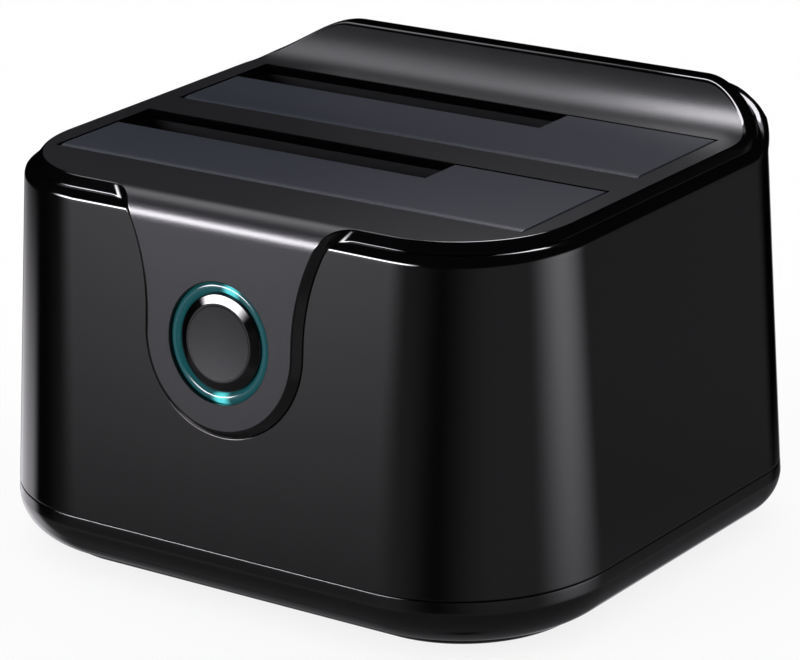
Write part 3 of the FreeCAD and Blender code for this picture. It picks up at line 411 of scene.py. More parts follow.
bulge_low = bulge_low + (outward * side_bulge_out + (0, 0, side_bulge_up)) * sideways
bulge_high = bulge_high + (outward * side_bulge_out + (0, 0, side_bulge_up)) * sideways
risen = np.clip(climb(edge_row[:, 1]) / rim_rise, 0, 1)[:, None] * (1 - rim_side_ease * sideways)
upward = (edge_row - crease_row) * (0, 0, 1)
low_pull = crease_row + outward * (rim_low_out * risen) + upward * rim_low_share
high_pull = crease_row + outward * (rim_high_out * risen) + upward + (0, 0, rim_high_up)
bulge_low = bulge_low + (low_pull - bulge_low) * swell
bulge_high = bulge_high + (high_pull - bulge_high) * swell


def slope(t):
    """The shoulder from the crease, t = 0, to its upper edge, t = 1: straight along the sides,
    and a cubic curve that bulges outwards where the rear rim rises."""
    return ((1 - t) ** 3 * crease_row + 3 * t * (1 - t) ** 2 * bulge_low
            + 3 * t ** 2 * (1 - t) * bulge_high + t ** 3 * edge_row)


slope_length = np.linalg.norm(edge_row - crease_row, axis=-1, keepdims=True)
start_share = crease_round / slope_length
end_share = 1 - shell_edge_round / slope_length
shell_rows = [along(seam_row, crease_row, distance * shell_edge_round) for distance in (1, 3)]
shell_rows += [seam_row + (crease_row - seam_row) * share for share in np.linspace(0.05, 0.95, 10)]
shell_rows += [along(crease_row, seam_row, 2.5 * crease_round)]
shell_rows += rounded(along(crease_row, seam_row, crease_round), crease_row, slope(start_share), 6)
crease_middle = len(shell_rows) - 4
shell_rows += [slope(start_share + (end_share - start_share) * share)
               for share in np.linspace(0, 1, 9)[1:]]
shell_rows = np.array(shell_rows)


def left_of(row):
    """The same columns on the left side, in the order that carries a loop on."""
    return row[..., ::-1, :] * (-1, 1, 1)


def profile_of(column):
    """Depth, height and distance below the crease of each row of the shell, at one column."""
    steps = np.linalg.norm(np.diff(shell_rows[:, column], axis=0)[:, 1:], axis=-1)
    run = np.concatenate([[0], np.cumsum(steps)])
    return shell_rows[:, column, 1], shell_rows[:, column, 2], run[crease_middle] - run


front_profile, rear_profile = profile_of(0), profile_of(-1)
front_drop, rear_drop = front_profile[2], rear_profile[2]
edge_drop = front_drop[-1] - shell_edge_round

tongue_half, tongue_side_start, tongue_arc_drop = 17.35, 18.0, 20.3
tongue_flare_radius = 38.0
opening_gap = 0.15


def tongue_line(half, fillet, top, reach):
    """The right half of the U outline, as (x, drop): a half circle, a straight side, a flare arc,
    a fillet that the flare circle holds inside itself, and a level run at top out to reach."""
    low = np.linspace(0, np.pi / 2, 29)[:-1]
    height = tongue_side_start - top - fillet
    end = np.arcsin(height / (tongue_flare_radius - fillet))
    flare = np.linspace(0, end, 71)[:-1]
    curl = np.linspace(end, np.pi / 2, 15)[:-1]
    middle_x = half + tongue_flare_radius - (tongue_flare_radius - fillet) * np.cos(end)
    x = np.concatenate([half * np.sin(low), half + tongue_flare_radius * (1 - np.cos(flare)),
                        middle_x - fillet * np.cos(curl), np.linspace(middle_x, reach, 6)])
    drop = np.concatenate([tongue_arc_drop + half * np.cos(low),
                           tongue_side_start - tongue_flare_radius * np.sin(flare),
                           top + fillet - fillet * np.sin(curl), np.full(6, float(top))])
    return np.column_stack([x, drop])


def on_wall(profile, x, drop):
    """Places on the front or the rear wall, straight along X, from how far below the crease."""
    depths, heights, drops = (values[::-1] for values in profile)
    return np.column_stack([x, np.interp(drop, drops, depths), np.interp(drop, drops, heights)])


def whole(half):
    """A symmetric open line from left to right, from its right half that starts in the middle."""
    return np.concatenate([half[:0:-1] * np.array((-1,) + (1,) * (half.shape[1] - 1)), half])


def split_at(line, other, drops):
    """Two half lines with as many points each, with more points where line crosses the drops."""
    place = np.arange(len(line))
    every = np.union1d(place, np.interp(drops, line[::-1, 1], place[::-1]))
    return [np.column_stack([np.interp(every, place, half[:, axis]) for axis in (0, 1)])
            for half in (line, other)]


shell_fillet = 6.2
opening_skin = tongue_line(tongue_half + opening_gap + shell_edge_round,
                           shell_fillet - shell_edge_round, front_drop[-1], shell_rows[-1, 0, 0])
opening_corner = tongue_line(tongue_half + opening_gap, shell_fillet, edge_drop, edge_row[0, 0])
opening_skin, opening_corner = split_at(opening_skin, opening_corner, front_drop[crease_middle - 4:-1])
opening_skin, opening_corner = whole(opening_skin), whole(opening_corner)
skin_line = on_wall(front_profile, *opening_skin.T)
over = np.clip((front_drop[-1] - opening_corner[:, 1:]) / shell_edge_round, 0, 1)
edge_step = (edge_row[0] - shell_rows[-1, 0]) * (0, 1, 1)
corner_line = on_wall(front_profile, *opening_corner.T) + over * edge_step

front_side = np.column_stack([shell_rows[:, 0, 0], front_drop])
front_loop = np.concatenate([front_side[:-1], opening_skin[::-1], (front_side * (-1, 1))[-2::-1]])
bends = [np.array([(-x, drop), (x, drop)]) for x, drop in front_side[crease_middle - 4:-1]]
rear_side = np.column_stack([shell_rows[:, -1, 0], rear_drop])
rear_loop = np.concatenate([rear_side, (rear_side * (-1, 1))[::-1]])
rear_bends = [np.array([(-x, drop), (x, drop)]) for x, drop in rear_side[crease_middle - 4:-1]]


def on_rear(loop):
    """A loop of (x, z) on the rear wall, as (x, drop)."""
    return np.column_stack([loop[:, 0], np.interp(loop[:, 1], rear_profile[1], rear_drop)])


def behind(node, grow):
    """The rectangle over (x, z) that a CAD node fills as seen from behind, grown all round."""
    low, high = (corner * 1000 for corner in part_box(node))
    return rectangle((low.x + high.x) / 2, (low.z + high.z) / 2,
                     (high.x - low.x) / 2 + grow, (high.z - low.z) / 2 + grow)


port_gap = 0.25
usb_wall, usb_storey, usb_upper_width = 0.4, 2.8, 5.8
usb_box = behind("usb_port_shell", port_gap)
usb_down = (0, -usb_storey)
usb_in = ((usb_box[2, 0] - usb_box[0, 0] - usb_upper_width) / 2 - usb_wall - port_gap, 0)
usb_loop = np.array([*usb_box[:2], usb_box[2] + usb_down, usb_box[2] + usb_down - usb_in,
                     usb_box[2] - usb_in, usb_box[3] + usb_in,
                     usb_box[3] + usb_down + usb_in, usb_box[3] + usb_down])
jack_nose_radius = 4.0
jack_loop = circle(*behind("dc_jack", 0).mean(0), jack_nose_radius + port_gap)
port_loops = [on_rear(loop) for loop in (usb_loop, jack_loop, behind("power_switch", port_gap))]

inner_side = outward * -shell_wall
shell_parts = []
for inward in (0, 1):
    right = shell_rows + inner_side * inward
    shell_parts += [bands(right, closed=False), bands(left_of(right), closed=False)]
    into = np.array((0, shell_wall * inward, 0))
    shell_parts.append(sheet([front_loop], bends,
                             lambda x, drop: on_wall(front_profile, x, drop) + into))
    shell_parts.append(sheet([rear_loop] + port_loops, rear_bends,
                             lambda x, drop: on_wall(rear_profile, x, drop) - into))
for loop in port_loops:
    skin = on_wall(rear_profile, *loop.T)
    shell_parts.append(bands([skin, skin - (0, shell_wall, 0)]))


def round_border(right, line, corner_right, corner_line, depth):
    """Closed rows of a border of the shell: its skin, a rounded edge, and its inner skin."""
    inward_line = np.tile((0, 1.0, 0), (len(line), 1))
    skin = np.concatenate([right, left_of(right), line])
    corner = np.concatenate([corner_right, left_of(corner_right), corner_line])
    inward = np.concatenate([-outward, left_of(-outward), inward_line])
    return (rounded(skin, corner, corner + inward * shell_edge_round)
            + [corner + inward * (depth - shell_edge_round), skin + inward * depth])


upper_border = round_border(shell_rows[-1], skin_line[1:-1], edge_row, corner_line[1:-1], shell_wall)
lower_border = round_border(shell_rows[0], skin_line[:0], seam_row, corner_line[:0], shell_wall)
shell_parts += [bands(upper_border), bands(lower_border)]
put("housing_moulding", shell_parts, gloss_abs, "housing", "housing_gloss", "outer_shell")

# Cover: one ABS moulding, spark-eroded to a satin grain on top and polished round
# its edge. It is the deck, the ramp up to the rear rim, and the tongue that rolls
# over the front edge and stands a little proud of the housing down to the button.
bay_names = ("front", "rear")
bay_half_width, bay_depth = 51.8, 27.14
bay_y = [-16.48, 19.79]
deck_half, deck_front, deck_rear, deck_height = 56.3, -43.08, 46.02, 74.5
deck_radius, deck_rear_radius = 22.3, 15.3
cover_thickness = 1.87
ramp_length, ramp_rise = 11.5, 6.8
tongue_step, tongue_proud = 1.25, 1.5
roll_radius = 5.0
face_fillet = 7.0
cover_round = 0.28
foot_round, foot_play = 0.15, 0.15
rim_first_share, rim_first_up, rim_last_up = 0.42, 0.75, 0.2
ramp_radius = (ramp_length ** 2 + ramp_rise ** 2) / (2 * ramp_rise)
ramp_start = deck_rear - ramp_length


def on_front(x, drop, out):
    """Places on the leaning front: across, down from the crease, and out of the wall."""
    x, drop, out = np.broadcast_arrays(np.atleast_1d(x), drop, out)
    start = np.array((0, shoulder_front, shoulder_z))
    return (start + np.multiply.outer(x, (1, 0, 0)) + np.multiply.outer(drop, front_down)
            + np.multiply.outer(out, front_out))


roll_z = deck_height - roll_radius
tongue_face = on_front(0, 0, tongue_proud)[0]
roll_y = tongue_face[1] + (roll_radius + np.sin(lean) * (roll_z - tongue_face[2])) / np.cos(lean)
roll_turn = np.pi / 2 - lean
roll_end_drop = float((np.array((0, roll_y, roll_z)) + front_out * roll_radius
                       - (0, shoulder_front, shoulder_z)) @ front_down)
tongue_origin = roll_y - roll_radius * roll_turn + roll_end_drop


def on_cover(x, s, depth=0.0):
    """The cover's surface over (x, s), or that deep inside it. s is the depth y on the deck and
    the ramp; in front of the deck it goes on as the distance round the roll and down the tongue."""
    x, s = np.asarray(x, float), np.asarray(s, float)
    tilt = np.arcsin(np.clip((s - ramp_start) / ramp_radius, 0, ramp_length / ramp_radius))
    y = np.maximum(s, roll_y) + depth * np.sin(tilt)
    z = deck_height + ramp_radius * (1 - np.cos(tilt)) - depth * np.cos(tilt)
    turned = np.clip((roll_y - s) / roll_radius, 0, roll_turn)
    past = np.maximum(roll_y - s - roll_radius * roll_turn, 0)
    y = y - (roll_radius - depth) * np.sin(turned) + past * front_down[1]
    z = z - (roll_radius - depth) * (1 - np.cos(turned)) + past * front_down[2]
    return np.column_stack([x, y, z])


def face_line(grow):
    """The right half of the satin face's outline over (x, s): the tongue's U, its fillet into the
    deck's front edge, and the deck's outline to the middle of the rear."""
    deck = half_outline(deck_half + grow, deck_front - grow, deck_rear + grow, deck_radius + grow,
                        deck_rear_radius + grow, 0)[run_steps:, :2]
    line = tongue_line(tongue_half - tongue_step + grow, face_fillet - grow,
                       tongue_origin - deck_front + grow, deck[0, 0])
    return np.concatenate([line[:-1] * (1, -1) + (0, tongue_origin), deck])


face_skin, face_corner = face_line(-cover_round), face_line(0)
in_tongue = len(face_skin) - len(edge_row) - run_steps
foot_flat = tongue_line(tongue_half, shell_fillet + foot_play, edge_drop, edge_row[0, 0])[:-1]
lift = np.clip((front_drop[-1] - foot_flat[:, 1:]) / shell_edge_round, 0, 1)
foot_line = on_wall(front_profile, *foot_flat.T) + lift * (edge_step + (0, 0, edge_gap))
rear_run = np.linspace(edge_row[-1], edge_row[-1] * (0, 1, 1), run_steps + 1)[1:]
foot_deck = np.concatenate([edge_row, rear_run])
foot_half = np.concatenate([foot_line, foot_deck + (0, 0, edge_gap)])
inward = np.concatenate([np.tile(-front_out, (in_tongue, 1)), -outward,
                         np.tile((0, -1.0, 0), (run_steps, 1))])
foot, inward_loop = mirrored(foot_half), mirrored(inward)
skin_loop, corner_loop = mirrored(face_skin), mirrored(face_corner)
skin, corner = on_cover(*skin_loop.T), on_cover(*corner_loop.T)
half_rise = np.concatenate([np.zeros((in_tongue, 1)), swell, np.ones((run_steps, 1))])
rise = np.concatenate([half_rise, half_rise[-2:0:-1]])
first_pull = corner + (foot - corner) / 3
last_pull = corner + (foot - corner) * 2 / 3
rim_first = corner + (foot - corner) * (rim_first_share, rim_first_share, 0) + (0, 0, rim_first_up)
rim_last = foot * (1, 1, 0) + corner * (0, 0, 1) + (0, 0, rim_last_up)
first_pull = first_pull + (rim_first - first_pull) * rise
last_pull = last_pull + (rim_last - last_pull) * rise


def rim(t):
    """The polished edge from the satin face, t = 0, to the foot, t = 1: straight, and at the
    rear a cubic curve that rises over the rim and comes down to the housing."""
    return ((1 - t) ** 3 * corner + 3 * t * (1 - t) ** 2 * first_pull
            + 3 * t ** 2 * (1 - t) * last_pull + t ** 3 * foot)


rim_length = np.linalg.norm(foot - corner, axis=-1, keepdims=True)
rim_start, rim_end = cover_round / rim_length, 1 - foot_round / rim_length
rim_rows = rounded(skin, corner, rim(rim_start), 5)
rim_rows += [rim(rim_start + (rim_end - rim_start) * share) for share in np.linspace(0, 1, 13)[1:]]
seat_depth = cover_thickness - tongue_proud
rim_rows += rounded(rim(rim_end), foot, foot + inward_loop * foot_round, 3)[1:]
rim_rows += [foot + inward_loop * seat_depth, on_cover(*skin_loop.T, cover_thickness)]


def bay_loop(y, grow):
    """The four corners of a bay opening, grown all round."""
    return rectangle(0, y, bay_half_width + grow, bay_depth / 2 + grow)


button_drop, ring_radius, ring_play = 20.4, 10.95, 0.1
cover_edge = 0.15
ring_holes = [circle(0, tongue_origin - button_drop, ring_radius + ring_play + grow)
              for grow in (cover_edge, 0)]
skin_holes = [bay_loop(y, cover_edge) for y in bay_y] + ring_holes[:1]
corner_holes = [bay_loop(y, 0) for y in bay_y] + ring_holes[1:]
bend_margin, tongue_bend_reach = 0.5, 6
along_face = face_skin[:, 1]
on_roll = (along_face < roll_y + bend_margin) & (along_face > tongue_origin - tongue_bend_reach)
on_ramp = along_face > ramp_start - bend_margin
cover_bends = [np.array([(-x, s), (x, s)]) for x, s in face_skin[on_roll | on_ramp] if x > bend_margin]
cover_parts = [(*bands(rim_rows), gloss_abs)]
for depth in (0.0, cover_thickness):
    cover_parts.append(sheet([skin_loop] + skin_holes, cover_bends, lambda x, s: on_cover(x, s, depth)))
for skin_hole, corner_hole in zip(skin_holes, corner_holes):
    top, edge = on_cover(*skin_hole.T), on_cover(*corner_hole.T)
    rows = rounded(top, edge, on_cover(*corner_hole.T, cover_edge), 3)
    rows += [on_cover(*corner_hole.T, cover_thickness - cover_edge),
             on_cover(*skin_hole.T, cover_thickness)]
    cover_parts.append((*bands(rows), gloss_abs))


def satin_abs(name, colour, roughness, grain=0.5, **sockets):
    """Spark-eroded ABS: a fine matt grain about 0.35 mm across, drawn a little coarser than
    the real one so that it shows, that breaks highlights up into a soft sparkle."""
    material, tree, surface = new_material(name, colour, roughness, IOR=1.5, **sockets)
    place = add_node(tree, "ShaderNodeTexCoord").outputs["Object"]
    grains = add_node(tree, "ShaderNodeTexNoise", [("Vector", place)], Scale=2600.0, Detail=2.0)
    bump = add_node(tree, "ShaderNodeBump", [("Height", grains.outputs["Fac"])],
                    Strength=grain, Distance=0.00004)
    rub = add_node(tree, "ShaderNodeTexNoise", [("Vector", place)], Scale=35.0, Detail=4.0)
    worn = add_node(tree, "ShaderNodeMapRange", [("Value", rub.outputs["Fac"]),
                                                 ("To Min", roughness - 0.01),
                                                 ("To Max", roughness + 0.03)])
    tree.links.new(worn.outputs["Result"], surface.inputs["Roughness"])
    tree.links.new(bump.outputs["Normal"], surface.inputs["Normal"])
    return material


deck_abs = satin_abs("spark-eroded satin ABS", "232327", 0.29)
put("deck_cover", cover_parts, deck_abs, "housing", "deck_satin", "top_cover", sharp=28)

# Flaps: flat plates of the same satin ABS, a little paler because their grain is
# finer. Each turns on a steel pin through two arms that reach under the deck, and
# has a notch at its rear left corner for a small drive.
flap_gap, flap_thickness = 0.45, 1.8
notch_width, notch_depth = 71.05, 9.8
flap_round_depth, flap_round_drop = 1.6, 0.6
flap_edge = 0.2
flap_abs = satin_abs("fine-grain satin ABS", "31343e", 0.4, 0.35, Specular_IOR_Level=0.2)
arm_start, arm_width, arm_reach, arm_setback, arm_overlap = 24.0, 10.0, 5.0, 0.4, 0.6
barrel_radius, bore_radius, barrel_steps, roof_gap = 1.45, 0.8, 32, 0.1


def walls(loop, ends):
    """The band along X between two ends over a loop of (y, z) points."""
    return bands([np.column_stack([np.full(len(loop), x), loop]) for x in ends])


def caps(loops, ends):
    """The flat region over (y, z) inside the first loop and outside the others, at each end."""
    return [sheet(loops, [], lambda y, z: np.column_stack([np.full(len(y), x), y, z])) for x in ends]


for name, middle in zip(bay_names, bay_y):
    front, rear = middle - bay_depth / 2 + flap_gap, middle + bay_depth / 2 - flap_gap
    side = bay_half_width - flap_gap
    notch_x = -bay_half_width + notch_width
    notch_y = middle + bay_depth / 2 - notch_depth
    underside = deck_height - flap_thickness

    def on_flap(x, s):
        """The plate's top, level behind and a quarter ellipse down at its front edge."""
        turned = np.clip((front + flap_round_depth - s) / flap_round_depth, 0, 1) * np.pi / 2
        y = np.maximum(s, front + flap_round_depth) - flap_round_depth * np.sin(turned)
        return np.column_stack([x, y, deck_height - flap_round_drop * (1 - np.cos(turned))])

    def flap_loop(inset):
        """The plate's outline with its notch, drawn in from the sides and the rear."""
        return np.array([(-side + inset, front), (side - inset, front), (side - inset, rear - inset),
                         (notch_x + inset, rear - inset), (notch_x + inset, notch_y - inset),
                         (-side + inset, notch_y - inset)])

    fine = np.linspace(0, 1, 13)[1:, None]
    left_front, right_front = flap_loop(0)[:2, None] + (0, flap_round_depth) * fine
    left_front = left_front[::-1]

    def flap_border(inset):
        """The outline with a corner for each bend of the rounded front edge."""
        plain = flap_loop(inset)
        return np.concatenate([plain[:2], right_front - (inset, 0), plain[2:], left_front + (inset, 0)])

    skin, edge = flap_border(flap_edge), flap_border(0)
    skin_bends = [np.array([(-side + flap_edge, s), (side - flap_edge, s)]) for s in right_front[:, 1]]
    top, corner = on_flap(*skin.T), on_flap(*edge.T)
    lower = corner - (0, 0, flap_edge)
    lower[:, 2] = np.maximum(lower[:, 2], underside)
    parts = [sheet([skin], skin_bends, on_flap),
             sheet([skin], skin_bends, lambda x, s: on_flap(x, s) * (1, 1, 0) + (0, 0, underside)),
             bands(rounded(top, corner, lower, 3) + [corner * (1, 1, 0) + (0, 0, underside),
                                                     top * (1, 1, 0) + (0, 0, underside)])]
    pin_low, pin_high = (point * 1000 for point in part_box(name + "_hinge_pin"))
    axis = np.array(((pin_low.y + pin_high.y) / 2, (pin_low.z + pin_high.z) / 2))
    roof = deck_height - cover_thickness - roof_gap
    start, low, sunk = axis[0] + arm_setback, axis[1] - barrel_radius, underside + arm_overlap
    arm = np.array([(start, roof), (front, roof), (front, sunk), (front + arm_reach, sunk),
                    (front + arm_reach, underside), (front, low), (start, low)])
    outer, bore = (circle(*axis, radius, barrel_steps) for radius in (barrel_radius, bore_radius))
    for hand in (-1, 1):
        ends = sorted((hand * arm_start, hand * (arm_start + arm_width)))
        parts += [walls(arm, ends), *caps([arm], ends)]
        parts += [*caps([outer, bore], ends), walls(outer, ends), walls(bore, ends)]
    put(name + "_flap_plate", parts, flap_abs, name + "_flap", "flap_satin", name + "_bay_flap")

# Start button: a turned-looking cap of ABS with a wide polished bevel and a dished
# satin face, which slides inside a ring of clear acrylic lit from behind.
cap_radius, bevel_width, bevel_drop, cap_dish = 8.9, 1.8, 0.7, 0.35
ring_inner, ring_recess, ring_flange, ring_flange_out = 9.1, 0.8, 12.2, -0.37
ring_thickness, cap_travel_room = 4.2, 1.1
ring_face = tongue_proud - ring_recess
ring_rear = ring_face - ring_thickness
cap_rear = ring_rear - cap_travel_room
cap_flange, cap_flange_thickness = 10.2, 1.0
bead_radius, bead_lift = (ring_radius - ring_inner) / 2, 0.5


def turned(profile, steps=128):
    """A closed round piece on the button's centre line from (radius, height out of the wall)
    points: the profile is carried round a circle square to the leaning front."""
    angle = np.linspace(0, 2 * np.pi, steps, endpoint=False)
    radius, out = np.asarray(profile, float).T
    x = radius[:, None] * np.cos(angle)
    drop = button_drop + radius[:, None] * np.sin(angle)
    points = on_front(x.ravel(), drop.ravel(), np.repeat(out, steps))
    return bands(points.reshape(len(out), steps, 3))


def eased(corners, size, steps=4):
    """A line of (radius, out) points through corners, each of which is rounded off by size:
    a parabola between points that far before and after it."""
    corners = np.asarray(corners, float)
    line = [corners[:1]]
    for before, corner, after in zip(corners, corners[1:], corners[2:]):
        near = min(size, 0.45 * np.linalg.norm(before - corner), 0.45 * np.linalg.norm(after - corner))
        t = np.linspace(0, 1, steps + 1)[:, None]
        first = along(corner, before, near)
        last = along(corner, after, near)
        line.append((1 - t) ** 2 * first + 2 * t * (1 - t) * corner + t ** 2 * last)
    return np.concatenate(line + [corners[-1:]])


def edge_lit_acrylic(name, lamps):
    """Clear acrylic tinted teal, polished by its mould: it glows faintly all round and brightly
    within 2.4 mm of each lamp behind it, given as (x, drop)."""
    material, tree, surface = new_material(name, "0b3a42", 0.1, IOR=1.49, Transmission_Weight=0.2)
    place = add_node(tree, "ShaderNodeTexCoord").outputs["Object"]
    surface.inputs["Emission Color"].default_value = linear("5fe0e6")
    glow = 0.06
    for x, drop in lamps:
        lamp = on_front(x, drop, ring_face + bead_lift)[0] * 0.001
        away = add_node(tree, "ShaderNodeVectorMath", [(0, place), (1, lamp)], operation="DISTANCE")
        near = add_node(tree, "ShaderNodeMapRange",
                        [("Value", away.outputs["Value"]), ("From Min", 0.0024), ("From Max", 0.0006),
                         ("To Max", 0.9)], interpolation_type="SMOOTHSTEP")
        glow = add_node(tree, "ShaderNodeMath", [(0, near.outputs["Result"]), (1, glow)],
                        operation="ADD").outputs[0]
    tree.links.new(glow, surface.inputs["Emission Strength"])
    return material


acrylic = edge_lit_acrylic("edge-lit clear acrylic",
                           ((0.6, button_drop + 10), (2.4, button_drop - 9.6)))
bead_turn = np.linspace(0, np.pi, 17)
bead = np.column_stack([ring_inner + bead_radius * (1 + np.cos(bead_turn)),
                        ring_face + bead_lift - bead_radius * (1 - np.sin(bead_turn))])
ring_back = eased([(ring_inner, ring_rear), (ring_flange, ring_rear), (ring_flange, ring_flange_out),
                   (ring_radius, ring_flange_out)], 0.2)
ring_profile = np.concatenate([ring_back, bead, ring_back[:1]])
put("button_light_ring", [turned(ring_profile)], acrylic, "housing", "ring_clear", "button_ring")

face_radius = cap_radius - bevel_width
dish_radius = (face_radius ** 2 + cap_dish ** 2) / (2 * cap_dish)
dish_r = np.linspace(face_radius, 0, 16)
dish_out = tongue_proud - (np.sqrt(dish_radius ** 2 - dish_r ** 2) - (dish_radius - cap_dish))
cap_side = eased([(0, cap_rear), (cap_flange, cap_rear), (cap_flange, cap_rear + cap_flange_thickness),
                  (cap_radius, cap_rear + cap_flange_thickness),
                  (cap_radius, tongue_proud - bevel_drop), (face_radius, tongue_proud),
                  (dish_r[1], dish_out[1])], 0.3)
cap_abs = satin_abs("satin ABS with a polished bevel", "1b1b1e", 0.3, 0.2)
cap_dish_line = np.concatenate([cap_side[-1:], np.column_stack([dish_r, dish_out])[2:]])
put("start_button", [(*turned(cap_side), gloss_abs), turned(cap_dish_line)],
    cap_abs, "button", "cap_satin", "button_cap", sharp=40)

# Parts inside and behind, which keep their CAD meshes: wells and connectors of
# moulded plastic, steel pins, springs and screws, the boards and the sockets.


def finish_node(material, *names):
    """Gives CAD nodes a material in place of their plain one."""
    for name in names:
        mesh = nodes[name].data
        mesh.materials.clear()
        mesh.materials.append(material)


def grained_plastic(name, colour, roughness, scale=1500.0, strength=0.3, **sockets):
    """Moulded plastic with a fine matt grain."""
    material, tree, surface = new_material(name, colour, roughness, **sockets)
    place = add_node(tree, "ShaderNodeTexCoord").outputs["Object"]
    grains = add_node(tree, "ShaderNodeTexNoise", [("Vector", place)], Scale=scale, Detail=3.0)
    bump = add_node(tree, "ShaderNodeBump", [("Height", grains.outputs["Fac"])],
                    Strength=strength, Distance=0.00005)
    tree.links.new(bump.outputs["Normal"], surface.inputs["Normal"])
    return material


def turned_metal(name, colour, roughness):
    """Bare or plated metal with faint tool marks."""
    material, tree, surface = new_material(name, colour, roughness, Metallic=1.0)
    place = add_node(tree, "ShaderNodeTexCoord").outputs["Object"]
    marks = add_node(tree, "ShaderNodeTexNoise", [("Vector", place)], Scale=4000.0, Detail=2.0)
    bump = add_node(tree, "ShaderNodeBump", [("Height", marks.outputs["Fac"])],
                    Strength=0.15, Distance=0.00002)
    tree.links.new(bump.outputs["Normal"], surface.inputs["Normal"])
    return material


finish_node(grained_plastic("matt moulded ABS", "08080a", 0.5, Specular_IOR_Level=0.12),
            "front_bay_well", "rear_bay_well")
finish_node(grained_plastic("glass-filled nylon", "101011", 0.45),
            "front_drive_connector", "rear_drive_connector", "ribbon_sockets", "button_switch_body",
            "power_switch", "dc_jack")
finish_node(grained_plastic("moulded thermoplastic rubber", "161616", 0.75, 900.0), "rubber_feet")
finish_node(grained_plastic("moulded polycarbonate", "0f0f10", 0.3, 800.0, 0.15), "power_rocker")
finish_node(grained_plastic("natural acetal", "d8d4c8", 0.4), "button_switch_plunger")
finish_node(grained_plastic("natural PBT", "d9d9d6", 0.45), "usb_port_tongues", "button_ribbon")
finish_node(grained_plastic("epoxy moulding compound", "141415", 0.6), "bridge_chip", "memory_chips")
finish_node(grained_plastic("clear lamp epoxy", "d9f4f2", 0.2), "ring_lights")
finish_node(grained_plastic("green solder mask", "0d4a2a", 0.35, 600.0), "main_board", "button_board")
finish_node(turned_metal("zinc-plated steel", "a7a9ab", 0.3),
            "case_screws", "board_screws", "button_board_screws")
finish_node(turned_metal("ground steel", "b4b5b7", 0.22),
            "front_hinge_pin", "rear_hinge_pin", "dc_jack_pin")
finish_node(turned_metal("spring steel", "8f9092", 0.3), "front_flap_spring", "rear_flap_spring")
finish_node(turned_metal("nickel-plated steel", "b9b6ae", 0.25), "usb_port_shell")
finish_node(turned_metal("gold-plated bronze", "d9a441", 0.25),
            "front_drive_contacts", "rear_drive_contacts")

# Floor and backdrop: a plain table painted matt white, with a white room round it.
# To the eye it is white where it isn't shaded, and it keeps the object's shadow.


def set_piece(name, mesh, material, only_reflected):
    """One piece of the studio, which may be there for reflections only."""
    mesh.materials.append(material)
    piece = bpy.data.objects.new(name, mesh)
    bpy.context.scene.collection.objects.link(piece)
    if only_reflected:
        for seen_by in ("camera", "diffuse", "transmission", "volume_scatter", "shadow"):
            setattr(piece, "visible_" + seen_by, False)
    return piece


def flat_mesh(name, corners, faces):
    """A mesh of flat panels, from corners in metres."""
    mesh = bpy.data.meshes.new(name)
    mesh.from_pydata(corners, [], faces)
    return mesh


def painted_table(name, own_white):
    """Matt white paint. What is seen of it, directly or through a clear piece, is plain white for
    the share own_white, and for the rest the paint with the shadows on it."""
    material, tree, surface = new_material(name, "ffffff", 0.9)
    ray = add_node(tree, "ShaderNodeLightPath")
    seen = add_node(tree, "ShaderNodeMath",
                    [(0, ray.outputs["Is Camera Ray"]), (1, ray.outputs["Is Transmission Ray"])],
                    operation="MAXIMUM")
    share = add_node(tree, "ShaderNodeMath", [(0, seen.outputs[0]), (1, own_white)],
                     operation="MULTIPLY")
    white = add_node(tree, "ShaderNodeEmission", Strength=1.0)
    blend = add_node(tree, "ShaderNodeMixShader",
                     [("Fac", share.outputs[0]), (1, surface.outputs["BSDF"]),
                      (2, white.outputs["Emission"])])
    tree.links.new(blend.outputs["Shader"], tree.nodes["Material Output"].inputs["Surface"])
    return material


floor_half = 6.0
floor_mesh = flat_mesh("floor", at_height(rectangle(0, 0, floor_half, floor_half), 0), [(0, 1, 2, 3)])
floor = set_piece("floor", floor_mesh, painted_table("white painted table", 0.85), False)
floor.visible_glossy = False
world = bpy.data.worlds.new("studio")
bpy.context.scene.world = world
world.use_nodes = True
world.node_tree.nodes["Background"].inputs["Color"].default_value = linear("ffffff")
world.node_tree.nodes["Background"].inputs["Strength"].default_value = 1.0

# Light tent: a round tent that only reflections see, black with soft panels on it:
# a tall one in front, one on the right, a wide one overhead, a narrow bar above the
# front, and the pale table behind, which shows in the grazing edges.
tent_radius, tent_centre = 0.6, Vector((0, 0, 0.04))
softbox_white = "fcf9ff"
# strength, bearing of the middle, half width that is dark and that is bright, and heights
# in degrees: dark below, bright from, bright to, dark above
panels = [(1.85, -123, 22, 0, -20, 8, 8, 14), (0.14, -120, 40, 8, -34, -24, -14, 4),
          (0.12, -100, 30, 5, -30, -16, 6, 14), (2.2, 18, 30, 0, -32, -4, 4, 14),
          (0.14, 45, 30, 8, -34, -14, 8, 16), (0.26, -25, 55, 10, -34, -14, 4, 14),
          (0.14, 0, 190, 170, -90, -80, -26, -18), (1.2, 168, 26, 14, -48, -28, -21, -7),
          (0.8, 112, 16, 4, -48, -28, -21, -7), (36.0, -123, 30, 13, 13, 18, 25, 31),
          (2.6, 160, 46, 10, 38, 48, 54, 64)]


def lamp_cloth(name, strength):
    """White cloth lit evenly from behind; returns it, its node tree and its light."""
    material, tree, surface = new_material(name, "000000", 1.0)
    tree.nodes.remove(surface)
    light = add_node(tree, "ShaderNodeEmission", Color=linear(softbox_white), Strength=strength)
    tree.links.new(light.outputs["Emission"], tree.nodes["Material Output"].inputs["Surface"])
    return material, tree, light


